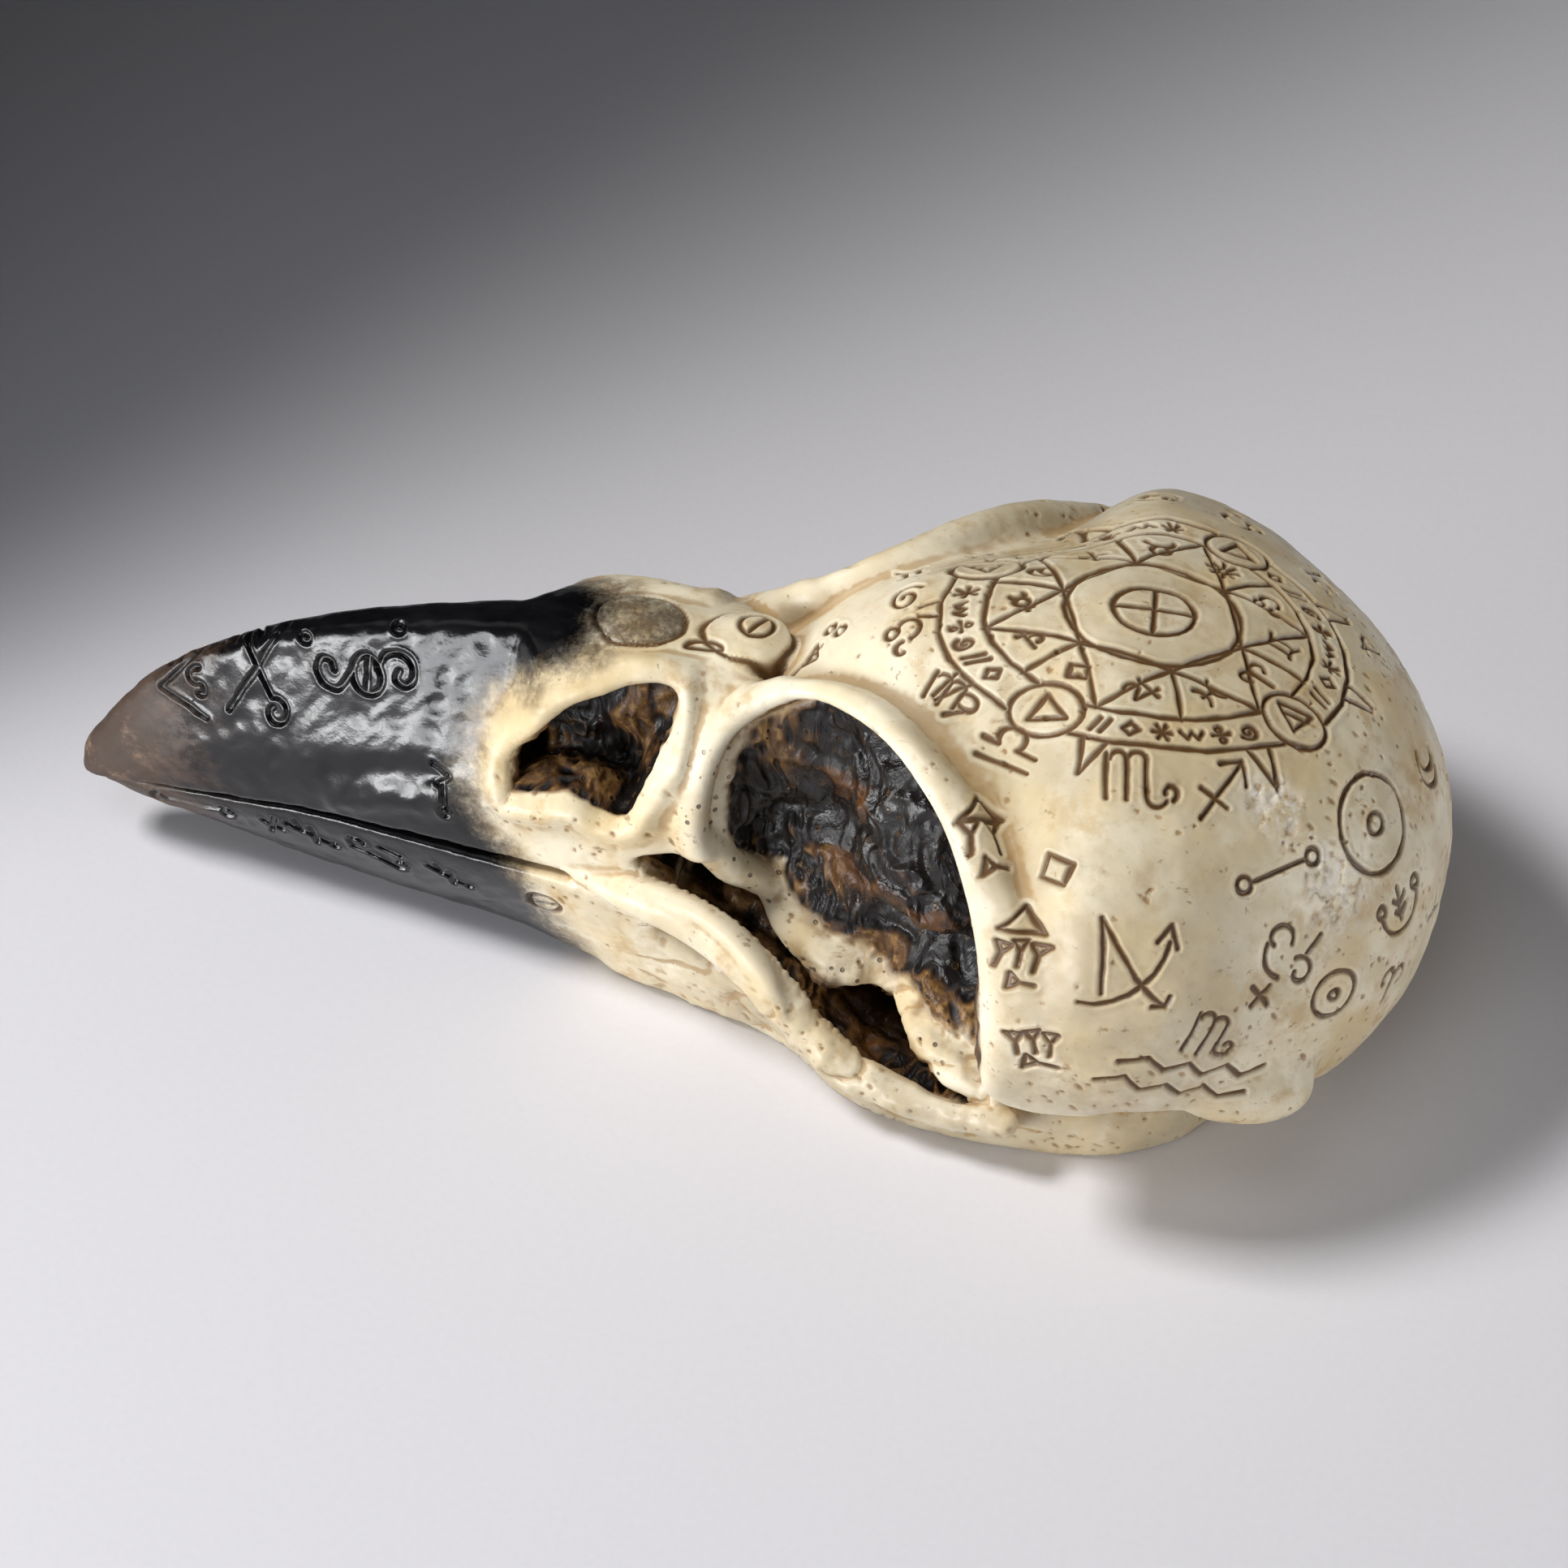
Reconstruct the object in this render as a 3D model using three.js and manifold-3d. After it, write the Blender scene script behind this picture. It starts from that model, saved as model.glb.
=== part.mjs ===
// Cast-resin ornament in the shape of a raven skull, about twice life size, at rest on its jaw.
// Millimetres, +Z up. The beak points along -X, the back of the head is at +X and the skull is
// the same on both sides of the plane y = 0. The origin is on the table, under the middle of
// the bounding box.
import * as THREE from 'three';
import { mergeVertices } from 'three/addons/utils/BufferGeometryUtils.js';
import Module from 'manifold-3d';

const wasm = await Module();
wasm.setup();

// ---------- driving dimensions ----------
const LENGTH = 210;
const TIP_X = -LENGTH / 2;
const GAP = 0.3; // parting line between neighbouring pieces

// the braincase is close to an ellipsoid
const DOME = { x: 51.7, z: 33.4, rx: 53.3, ry: 50.4, rz: 45.9 };
const DOME_LOW_Z = 24; // lower margin of the braincase
const DOME_FRONT_X = 47; // where the braincase ends and the roof between the eyes starts

// profiles along the skull, as [x, value]
const CULMEN = [[-105, 16], [-101, 23], [-92, 35], [-79, 44.5], [-65, 51.5], [-54, 55], [-34, 60], [-17, 62.5],
  [-2, 63]];
const MOUTH = [[-105, 12.6], [-101, 13.8], [-90, 16.9], [-77, 19.6], [-64, 22], [-48, 23.6], [-35, 24.6],
  [-22, 26], [-12, 25.4], [-4, 22.3], [3, 19], [10, 14], [20, 10]];
const GONYS = [[-102, 11.2], [-94, 9.2], [-77, 7], [-57, 4.8], [-33, 2.2], [-16, 0], [0, 0]];
const BEAK_HALF = [[-105, 1.6], [-101, 3.8], [-90, 6.4], [-77, 9], [-64, 11.6], [-48, 14.6], [-35, 17], [-22, 19.6],
  [-12, 21], [-4, 21.5]];
const LOWER_HALF = [[-102, 1.4], [-94, 4.8], [-77, 8.6], [-64, 11.2], [-48, 14.8], [-35, 17.6], [-22, 20.8], [-16, 22]];
const UPPER_BEAK_END_X = -36;
const LOWER_BEAK_START_X = -102;
const LOWER_BEAK_END_X = -16;

// nasal and lacrimal region, from the beak to the front of the eye sockets
const FACE = { x0: UPPER_BEAK_END_X + GAP, x1: 3, sections: 12 };
const FACE_LOW = [[-36, 24.8], [-24, 26.2], [-14, 27], [-8, 29], [3, 30.5]];
const FACE_HALF = [[-36, 17], [-27, 18.8], [-18, 19.8], [-8, 19], [-1, 17], [3, 15]];
const FACE_TOP = [[-36, 59.6], [-24, 61.7], [-17, 62.4], [-8, 62.4], [-1, 61.5], [3, 61]];
const FACE_LEAN = 0.4; // how much narrower the roof of the face is than its foot

// nostril: three points [x, z] up its middle, its half width there, and its inner wall
const NOSTRIL = { line: [[-30.5, 39], [-20, 46.5], [-10.5, 56]], radii: [2.8, 8, 5.6], wall: 9, outer: 40 };

// eye socket: its outline seen from the side, and how far in its inner wall stands
const SOCKET = [[-1, 40], [3.6, 52], [10, 60], [18, 65.4], [26, 67.2], [34, 65], [39.5, 58], [43, 48], [44, 38],
  [43.5, 27], [38, 19.5], [26, 18.5], [12, 23], [2, 30]];
const SOCKET_WALL = { front: 8.5, perMm: 0.26, outer: 62 };
const SOCKET_FLOOR_Z = 18;

// swollen rim of the socket, as [x, |y|, z, half width along the surface, half thickness]
const RIM = [[4, 9.6, 57, 1.8, 2.2], [10, 11.8, 62.8, 2.2, 2.2], [18, 16, 67.4, 2.6, 2.3], [26, 22, 69.2, 3.2, 2.4],
  [33.5, 28.6, 68.4, 4.2, 2.4], [40, 35.4, 65, 4.8, 2.4], [44.6, 42, 58.2, 5, 2.4], [47.2, 46, 50.6, 5, 2.3],
  [48.6, 48, 42, 4.8, 2.2], [49, 48.4, 34, 4.4, 2], [48.8, 47.4, 28, 3, 1.5]];

// cheek bar and the leaf-shaped curl of the upper jaw, as [x, |y|, z, half width, half height]
const CHEEK = [[-17, 18.6, 27, 3.2, 2.6], [-9, 21.6, 27, 3.6, 3], [0, 24.6, 25.6, 3.4, 4], [9, 28, 20.6, 3.4, 4],
  [18, 32, 15.6, 3.6, 3.2], [28, 35.6, 13.4, 3.8, 2.4], [38, 38.6, 12.4, 3.4, 2.2], [47, 40, 13, 2, 1.8]];
const CURL = [[-3, 26.4, 28.6, 1.2, 1.8], [2, 28.6, 27.6, 1.8, 3], [7, 31, 23.6, 2, 3.6], [11, 32.6, 19, 1.6, 2.6],
  [12.5, 33, 16.4, 0.8, 1.2]];

// ramus of the lower jaw, as [x, outer side, its foot, inner side, upper edge]
const RAMUS = [[-15.7, 21.4, 14.4, 6, 24], [-6, 22.8, 17.6, 9, 18.6], [4, 24.6, 20.6, 12, 14.4], [13, 28, 25, 16, 11.6],
  [20, 32.6, 31, 20, 10.8], [28, 36, 34.6, 24, 11], [38, 37.6, 36.4, 27, 11], [50, 38, 36.8, 28, 11],
  [62, 36.6, 35.4, 26, 10.8], [71, 32.4, 31, 23, 9.6], [77, 27.4, 26, 20, 6.4]];

// foot of the casting, between the two rami, as [x, half width, top]
const FOOT = [[-15.7, 5.4, 17], [-4, 9, 17.6], [6, 13, 17.6], [16, 17.4, 17.6], [28, 22.4, 17.6], [40, 25.8, 17.6],
  [50, 27.6, 17.6], [64, 27.4, 17.6], [76, 25.6, 16], [86, 17, 14], [90, 10, 13]];
// underside of the braincase, drawn in from its lower margin except at the back
const NAPE = { x: 55.6, z: 33.4, rx: 48, ry: 41, rz: 44 };
const NAPE_TOP_Z = DOME_LOW_Z - GAP;

const PALATE_RIDGE = [[6, 14.6, 21.4, 1.6, 1.6], [12, 17.6, 19.8, 2.6, 2.4], [20, 21.6, 19.6, 3, 2.6],
  [28, 26.4, 18.4, 3, 2.6], [35, 31.4, 16.8, 2.4, 2], [40, 35, 15.8, 1.2, 1.2]];
const HINGE_SCALES = [
  { name: 'hinge_scale_front', x: -15, y: 0, z: 63, rx: 7, ry: 7.4, rz: 2.6 },
  { name: 'hinge_scale_rear', x: 0.5, y: 0, z: 63.2, rx: 7.4, ry: 7.8, rz: 3.2 },
];
const OCCIPITAL_LOBE = { x: 79, y: 37.4, z: 25, rx: 11.5, ry: 7, rz: 6.4 };
const TEMPLE = { x: 57, y: 14, z: 38.5, rx: 30, ry: 38, rz: 34 }; // swelling behind the rim

// ---------- finishes ----------
const ivory = new THREE.MeshStandardMaterial({ color: 0xe6d9ba, roughness: 0.42, metalness: 0 });
const black = new THREE.MeshStandardMaterial({ color: 0x17161a, roughness: 0.22, metalness: 0 });
const umber = new THREE.MeshStandardMaterial({ color: 0x3a2718, roughness: 0.35, metalness: 0 });

// ---------- helpers ----------
// smooth curve through [x, value] pairs
function profile(points) {
  const slope = points.map((p, i) => {
    const a = points[Math.max(i - 1, 0)];
    const b = points[Math.min(i + 1, points.length - 1)];
    return (b[1] - a[1]) / (b[0] - a[0]);
  });
  return (x) => {
    if (x <= points[0][0]) return points[0][1];
    let i = 0;
    while (i < points.length - 2 && x > points[i + 1][0]) i += 1;
    const [x0, v0] = points[i];
    const [x1, v1] = points[i + 1];
    const span = x1 - x0;
    const t = Math.min((x - x0) / span, 1);
    const rise = t * t * (3 - 2 * t);
    const bend = span * (slope[i] * t * (1 - t) * (1 - t) - slope[i + 1] * t * t * (1 - t));
    return v0 + (v1 - v0) * rise + bend;
  };
}

function range(from, to, count) {
  return Array.from({ length: count }, (_, i) => from + (to - from) * (i / (count - 1)));
}

// closed skin over rings of equal length, with a fan over each end
function loft(rings) {
  const sides = rings[0].length;
  const positions = rings.flat().flatMap((p) => [p.x, p.y, p.z]);
  const faces = [];
  for (let r = 0; r < rings.length - 1; r += 1) {
    for (let s = 0; s < sides; s += 1) {
      const a = r * sides + s;
      const b = r * sides + ((s + 1) % sides);
      faces.push(a, b, a + sides, b, b + sides, a + sides);
    }
  }
  for (const [ring, first] of [[rings[0], 0], [rings.at(-1), (rings.length - 1) * sides]]) {
    const middle = ring.reduce((sum, p) => sum.add(p), new THREE.Vector3()).divideScalar(sides);
    const centre = positions.length / 3;
    positions.push(middle.x, middle.y, middle.z);
    for (let s = 0; s < sides; s += 1) {
      const a = first + s;
      const b = first + ((s + 1) % sides);
      if (first === 0) faces.push(centre, b, a);
      else faces.push(centre, a, b);
    }
  }
  const geometry = new THREE.BufferGeometry();
  geometry.setAttribute('position', new THREE.Float32BufferAttribute(positions, 3));
  geometry.setIndex(faces);
  return geometry;
}

function signedVolume(geometry) {
  const p = geometry.getAttribute('position');
  const index = geometry.getIndex();
  const [a, b, c] = [new THREE.Vector3(), new THREE.Vector3(), new THREE.Vector3()];
  let volume = 0;
  for (let i = 0; i < index.count; i += 3) {
    a.fromBufferAttribute(p, index.getX(i));
    b.fromBufferAttribute(p, index.getX(i + 1));
    c.fromBufferAttribute(p, index.getX(i + 2));
    volume += a.dot(b.cross(c)) / 6;
  }
  return volume;
}

// a solid that can be joined and cut, from a closed geometry of either winding
function solid(geometry) {
  const bare = geometry.clone();
  bare.deleteAttribute('normal');
  bare.deleteAttribute('uv');
  const merged = mergeVertices(bare, 1e-4);
  const faces = Uint32Array.from(merged.getIndex().array);
  if (signedVolume(merged) < 0) {
    for (let i = 0; i < faces.length; i += 3) [faces[i], faces[i + 1]] = [faces[i + 1], faces[i]];
  }
  const vertProperties = Float32Array.from(merged.getAttribute('position').array);
  return new wasm.Manifold(new wasm.Mesh({ numProp: 3, vertProperties, triVerts: faces }));
}

// the geometry of a solid's largest body; crumbs that a cut leaves are dropped
function largestBody(body) {
  const mesh = body.getMesh();
  const count = mesh.vertProperties.length / mesh.numProp;
  const parent = Array.from({ length: count }, (_, i) => i);
  const root = (i) => {
    let r = i;
    while (parent[r] !== r) r = parent[r];
    while (parent[i] !== r) [parent[i], i] = [r, parent[i]];
    return r;
  };
  for (let i = 0; i < (mesh.mergeFromVert ?? []).length; i += 1) {
    parent[root(mesh.mergeFromVert[i])] = root(mesh.mergeToVert[i]);
  }
  const tris = mesh.triVerts;
  for (let i = 0; i < tris.length; i += 3) {
    parent[root(tris[i])] = root(tris[i + 1]);
    parent[root(tris[i + 1])] = root(tris[i + 2]);
  }
  const bodies = new Map();
  for (let i = 0; i < tris.length; i += 3) {
    const key = root(tris[i]);
    if (!bodies.has(key)) bodies.set(key, []);
    bodies.get(key).push(tris[i], tris[i + 1], tris[i + 2]);
  }
  const position = new THREE.Float32BufferAttribute(mesh.vertProperties, 3);
  const pieces = [...bodies.values()].map((faces) => {
    const geometry = new THREE.BufferGeometry();
    geometry.setAttribute('position', position);
    geometry.setIndex(faces);
    return geometry;
  });
  pieces.sort((a, b) => signedVolume(b) - signedVolume(a));
  return mergeVertices(pieces[0].toNonIndexed(), 1e-5);
}

const power = (value, exponent) => Math.sign(value) * Math.abs(value) ** exponent;

// rounded section across the skull at x, between z = low and z = high; `lean` narrows its top
function section(x, half, low, high, sides, square = 0.8, lean = 0) {
  const middle = (low + high) / 2;
  const rise = (high - low) / 2;
  return range(0, 2 * Math.PI, sides + 1).slice(0, sides).map((angle) => {
    const up = power(Math.sin(angle), square);
    const out = power(Math.cos(angle), square) * half * (1 - lean * (up + 1) / 2);
    return new THREE.Vector3(x, out, middle + rise * up);
  });
}

// arch with a flat foot: beak sections
function arch(x, half, foot, crown, sides, keen) {
  return range(0, Math.PI, sides).map((angle) => (
    new THREE.Vector3(x, power(Math.cos(angle), 0.85) * half, foot + (crown - foot) * power(Math.sin(angle), keen))
  ));
}

// bar with an elliptical section along [x, |y|, z, half width, half height] stations
function bar(stations, side, { sides = 10, steps = 14, grow = 0, inward = null } = {}) {
  const curve = new THREE.CatmullRomCurve3(stations.map(([x, y, z]) => new THREE.Vector3(x, y * side, z)));
  const sizes = new THREE.CatmullRomCurve3(stations.map(([, , , w, h]) => new THREE.Vector3(w, h, 0)));
  const rings = [];
  for (const t of range(0, 1, steps)) {
    const centre = curve.getPoint(t);
    const size = sizes.getPoint(t);
    const along = curve.getTangent(t);
    const out = inward ? centre.clone().sub(inward).normalize() : new THREE.Vector3(0, 0, 1);
    const across = new THREE.Vector3().crossVectors(along, out).normalize();
    const up = new THREE.Vector3().crossVectors(across, along).normalize();
    rings.push(range(0, 2 * Math.PI, sides + 1).slice(0, sides).map((angle) => centre.clone()
      .addScaledVector(across, Math.cos(angle) * (size.x + grow))
      .addScaledVector(up, Math.sin(angle) * (size.y + grow))));
  }
  return solid(loft(rings));
}

function ellipsoid({ x, y = 0, z, rx, ry, rz }, wide = 28, high = 18, grow = 0) {
  const ball = new THREE.SphereGeometry(1, wide, high);
  ball.rotateX(Math.PI / 2);
  ball.scale(rx + grow, ry + grow, rz + grow);
  ball.translate(x, y, z);
  return solid(ball);
}

function block(x0, x1, y0, y1, z0, z1) {
  const box = new THREE.BoxGeometry(x1 - x0, y1 - y0, z1 - z0);
  box.translate((x0 + x1) / 2, (y0 + y1) / 2, (z0 + z1) / 2);
  return solid(box);
}

const FAR = 150;
const beyond = (x) => block(x, FAR, -FAR, FAR, -FAR, FAR);
const before = (x) => block(-FAR, x, -FAR, FAR, -FAR, FAR);
const above = (z) => block(-FAR, FAR, -FAR, FAR, z, FAR);

const model = new THREE.Group();

// every piece gives way to the pieces placed before it, whose swollen shapes are kept here
let taken = null;

function place(name, body, material, swollen = null) {
  const mesh = new THREE.Mesh(largestBody(taken ? body.subtract(taken) : body), material);
  mesh.name = name;
  model.add(mesh);
  if (swollen) taken = taken ? taken.add(swollen) : swollen;
}

// ---------- beak ----------
const culmen = profile(CULMEN);
const mouth = profile(MOUTH);
const gonys = profile(GONYS);
const beakHalf = profile(BEAK_HALF);
const lowerHalf = profile(LOWER_HALF);

function upperBeak(grow) {
  const rings = range(0, 1, 17).map((t) => {
    const x = TIP_X + (UPPER_BEAK_END_X - TIP_X + grow) * t ** 1.35;
    return arch(x, beakHalf(x) + grow, mouth(x) - grow, culmen(x) + grow, 17, 0.92);
  });
  return solid(loft(rings));
}

function lowerBeak(grow) {
  const rings = range(0, 1, 13).map((t) => {
    const x = LOWER_BEAK_START_X + (LOWER_BEAK_END_X + grow - LOWER_BEAK_START_X) * t ** 1.25;
    return arch(x, lowerHalf(x) + grow, mouth(x) - GAP + grow, gonys(x) - grow, 13, 0.62 - 0.2 * t);
  });
  return solid(loft(rings)).intersect(above(0));
}

// ---------- face ----------
function nostril(side) {
  const { line, radii, wall, outer } = NOSTRIL;
  const middle = new THREE.CatmullRomCurve3(line.map(([x, z], i) => new THREE.Vector3(x, radii[i], z)));
  const run = new THREE.Vector2(line[2][0] - line[0][0], line[2][1] - line[0][1]).normalize();
  const up = range(0, 1, 7).map((t) => [middle.getPoint(t), 1]);
  const down = range(1, 0, 7).map((t) => [middle.getPoint(t), -1]);
  const ring = (y) => [...up, ...down].map(([p, hand]) => (
    new THREE.Vector3(p.x - run.y * p.y * hand, side * y, p.z + run.x * p.y * hand)
  ));
  return solid(loft([ring(wall), ring(outer)]));
}

function face() {
  const low = profile(FACE_LOW);
  const half = profile(FACE_HALF);
  const top = profile(FACE_TOP);
  const rings = range(FACE.x0, FACE.x1, FACE.sections)
    .map((x) => section(x, half(x), low(x), top(x), 22, 0.72, FACE_LEAN));
  return solid(loft(rings));
}

// ---------- eye socket ----------
function socket(side) {
  const outline = SOCKET.map(([x, z]) => new THREE.Vector3(x, 0, z));
  const rim = new THREE.CatmullRomCurve3(outline, true).getPoints(28).slice(0, 28);
  const wall = (p) => SOCKET_WALL.front + SOCKET_WALL.perMm * (p.x - SOCKET[0][0]);
  const inner = rim.map((p) => new THREE.Vector3(p.x, side * wall(p), p.z));
  const outer = rim.map((p) => new THREE.Vector3(p.x, side * SOCKET_WALL.outer, p.z));
  return solid(loft([inner, outer]));
}

const domeCentre = new THREE.Vector3(DOME.x, 0, DOME.z);
const rimBar = (side, grow) => bar(RIM, side, { steps: 16, grow, inward: domeCentre });
const cheekBar = (side, grow) => bar(CHEEK, side, { steps: 14, grow });
const curlBar = (side, grow) => bar(CURL, side, { sides: 8, steps: 8, grow });
const ridgeBar = (side, grow) => bar(PALATE_RIDGE, side, { sides: 8, steps: 10, grow });
const lobe = (side, grow) => ellipsoid({ ...OCCIPITAL_LOBE, y: OCCIPITAL_LOBE.y * side }, 12, 8, grow);
const scale = (size, grow) => ellipsoid(size, 16, 8, grow);

// ---------- lower jaw and foot ----------
function ramus(side, grow) {
  const rings = RAMUS.map(([x, outer, sole, inner, top], i) => {
    const half = (outer - inner) / 2 + grow;
    const low = -top * 0.35;
    return section(x - (i === 0 ? grow : 0), half, low, top + grow, 16, 0.62).map((p) => {
      const height = THREE.MathUtils.clamp(p.z / top, 0, 1);
      const outward = Math.max(p.y * side, 0) / half;
      const reach = p.y * side - (outer - sole) * (1 - height) * outward;
      return new THREE.Vector3(p.x, side * (reach + (outer + inner) / 2), p.z);
    });
  });
  return solid(loft(rings)).intersect(above(-grow));
}

function foot() {
  const rings = FOOT.map(([x, half, top]) => section(x, half, -top * 0.3, top, 20, 0.55));
  const nape = ellipsoid(NAPE, 28, 16).intersect(beyond(DOME_FRONT_X)).subtract(above(NAPE_TOP_Z));
  return solid(loft(rings)).add(nape).intersect(above(0));
}

// ---------- assembly ----------
const SIDES = [['left', -1], ['right', 1]];
for (const [name, side] of SIDES) {
  place(`orbital_rim_${name}`, rimBar(side, 0), ivory, rimBar(side, GAP));
  place(`jaw_curl_${name}`, curlBar(side, 0), ivory, curlBar(side, GAP));
  place(`occipital_lobe_${name}`, lobe(side, 0), ivory, lobe(side, GAP));
}
for (const size of HINGE_SCALES) place(size.name, scale(size, 0), ivory, scale(size, GAP));
place('upper_beak', upperBeak(0), black, upperBeak(GAP));
place('lower_beak', lowerBeak(0), black, lowerBeak(GAP));
for (const [name, side] of SIDES) {
  place(`cheek_bar_${name}`, cheekBar(side, 0), ivory, cheekBar(side, GAP));
  place(`palate_ridge_${name}`, ridgeBar(side, 0), ivory, ridgeBar(side, GAP));
  place(`jaw_ramus_${name}`, ramus(side, 0), ivory, ramus(side, GAP));
}

const dome = ellipsoid(DOME, 32, 20);
const sockets = socket(1).add(socket(-1));
const roof = dome.intersect(beyond(FACE.x1 + GAP)).intersect(before(DOME_FRONT_X - GAP));
place('nasal_face', face().subtract(nostril(1)).subtract(nostril(-1)).subtract(sockets), ivory);
place('brow_and_socket_wall', roof.intersect(above(SOCKET_FLOOR_Z)).subtract(sockets), umber);
const temples = ellipsoid(TEMPLE, 24, 16).add(ellipsoid({ ...TEMPLE, y: -TEMPLE.y }, 24, 16));
const skullCap = dome.add(temples).intersect(beyond(DOME_FRONT_X)).intersect(above(DOME_LOW_Z));
place('braincase', skullCap, ivory);
place('skull_base', foot(), umber);

export default model;
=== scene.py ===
"""Raven skull ornament: hollow-eyed cast resin, ivory paint with brown wash, black lacquered beak.

The skull is one skin. Its shape is a distance field in millimetres, x along the skull with the
beak tip at -x, z up from the table. The field is meshed, refined where signs are carved, then
carved and pitted, and each point is given the paint that the painter's brushes leave on it.
"""

import bpy
import numpy as np
from mathutils import Matrix, Vector


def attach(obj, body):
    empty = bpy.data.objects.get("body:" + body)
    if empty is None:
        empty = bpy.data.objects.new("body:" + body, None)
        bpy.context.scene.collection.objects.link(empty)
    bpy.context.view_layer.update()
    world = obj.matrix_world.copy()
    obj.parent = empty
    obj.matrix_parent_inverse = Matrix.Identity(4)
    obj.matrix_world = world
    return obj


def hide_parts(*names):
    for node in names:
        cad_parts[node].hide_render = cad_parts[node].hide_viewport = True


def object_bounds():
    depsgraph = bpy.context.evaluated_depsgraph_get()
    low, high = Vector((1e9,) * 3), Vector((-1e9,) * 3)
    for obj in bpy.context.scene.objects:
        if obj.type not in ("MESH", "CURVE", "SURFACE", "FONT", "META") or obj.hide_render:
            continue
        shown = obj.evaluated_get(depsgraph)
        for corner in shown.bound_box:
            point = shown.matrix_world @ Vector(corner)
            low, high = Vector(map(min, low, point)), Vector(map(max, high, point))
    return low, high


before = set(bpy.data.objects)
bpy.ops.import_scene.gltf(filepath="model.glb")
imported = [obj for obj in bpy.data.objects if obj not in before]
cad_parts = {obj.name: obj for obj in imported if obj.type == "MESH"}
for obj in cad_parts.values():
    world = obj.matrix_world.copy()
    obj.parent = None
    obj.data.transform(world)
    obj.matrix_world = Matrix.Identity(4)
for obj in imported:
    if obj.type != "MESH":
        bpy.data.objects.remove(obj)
cad_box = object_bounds()
MM = 0.001
SKULL_END = cad_box[1].x / MM      # 105: half the length from beak tip to the back of the skull
FAR = 9.0                          # past any distance at which a stroke or a pit still shows

# ------------------------------------------------------------------ curves, blends and noise


def curve(rows):
    """Smooth values along x through rows of [x, value, ...]."""
    rows = np.asarray(rows, float)
    x, v = rows[:, 0], rows[:, 1:]
    before = np.maximum(np.arange(len(x)) - 1, 0)
    after = np.minimum(np.arange(len(x)) + 1, len(x) - 1)
    slope = (v[after] - v[before]) / (x[after] - x[before])[:, None]

    def at(q):
        q = np.clip(q, x[0], x[-1])
        i = np.clip(np.searchsorted(x, q) - 1, 0, len(x) - 2)
        span = x[i + 1] - x[i]
        t = (q - x[i]) / span
        rise = t * t * (3 - 2 * t)
        out = []
        for k in range(v.shape[1]):
            bend = slope[i, k] * t * (1 - t) ** 2 - slope[i + 1, k] * t * t * (1 - t)
            out.append(v[i, k] + (v[i + 1, k] - v[i, k]) * rise + span * bend)
        return out[0] if len(out) == 1 else out
    return at


def stations(rows, steps=4):
    """Points of a smooth line through rows, with steps between one row and the next."""
    rows = np.asarray(rows, float)
    along = curve(np.column_stack([np.arange(len(rows)), rows]))
    return np.stack(along(np.linspace(0, len(rows) - 1, (len(rows) - 1) * steps + 1)), 1)


def join(a, b, fillet):
    """Union with a rounded inside corner."""
    h = np.maximum(fillet - np.abs(a - b), 0) / fillet
    return np.minimum(a, b) - h * h * fillet / 4


def keep(a, b, round_off):
    """What is in both, with a rounded outside edge."""
    return -join(-a, -b, round_off)


def ramp(low, high, v):
    """0 up to low and 1 past high, eased between."""
    t = np.clip((v - low) / (high - low), 0, 1)
    return t * t * (3 - 2 * t)


DICE = np.random.default_rng(11).random((4, 64, 64, 64)).astype(np.float32)


def mottle(p, size, layer=0):
    """Smooth random value from 0 to 1 that changes over size millimetres."""
    q = p / size + 40.0 * layer + 17.3
    i = np.floor(q).astype(np.int32)
    t = (q - i).astype(np.float32)
    t = t * t * (3 - 2 * t)
    grid = DICE[layer % 4]
    x0, y0, z0 = (i & 63).T
    x1, y1, z1 = ((i + 1) & 63).T
    tx, ty, tz = t.T
    near = grid[x0, y0, z0] * (1 - tx) + grid[x1, y0, z0] * tx
    far = grid[x0, y1, z0] * (1 - tx) + grid[x1, y1, z0] * tx
    low = near * (1 - ty) + far * ty
    near = grid[x0, y0, z1] * (1 - tx) + grid[x1, y0, z1] * tx
    far = grid[x0, y1, z1] * (1 - tx) + grid[x1, y1, z1] * tx
    return low * (1 - tz) + (near * (1 - ty) + far * ty) * tz


def mottles(p, size, octaves, layer=0):
    """Several sizes of mottle added up, the middle near 0.5."""
    total = 0
    weight = 0
    for k in range(octaves):
        total = total + mottle(p, size / 2 ** k, layer + k) / 1.7 ** k
        weight += 1 / 1.7 ** k
    return total / weight


def ridges(p, size, layer=0):
    """1 along thin wandering lines, 0 between them."""
    return 1 - np.abs(2 * mottle(p, size, layer) - 1) * 2


def dimples(p, size, share, layer=0):
    """Distance in millimetres to the nearest of scattered points, one in a share of the cells."""
    cell = np.floor(p / size).astype(np.int32)
    best = np.full(len(p), FAR, np.float32)
    for step in np.ndindex(3, 3, 3):
        c = cell + np.array(step) - 1
        x, y, z = (c & 63).T
        spot = np.stack([DICE[k, (x + 7 * layer) & 63, (y + 5 * k) & 63, z] for k in range(3)], 1)
        there = DICE[3, x, (y + 9 * layer) & 63, z] < share
        away = np.linalg.norm((c + spot) * size - p, axis=1)
        best = np.minimum(best, np.where(there, away, FAR))
    return best


# ------------------------------------------------------------------ the skull's dimensions

# swellings are ((x, y, z) of the centre, half sizes)
CRANIUM = ((51.7, 0, 33.4), (53.3, 50.4, 45.9))
TEMPLE = ((57, 14, 38.5), (30, 38, 34))
NAPE = ((55.6, 0, 33.4), (48, 41, 44))
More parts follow.
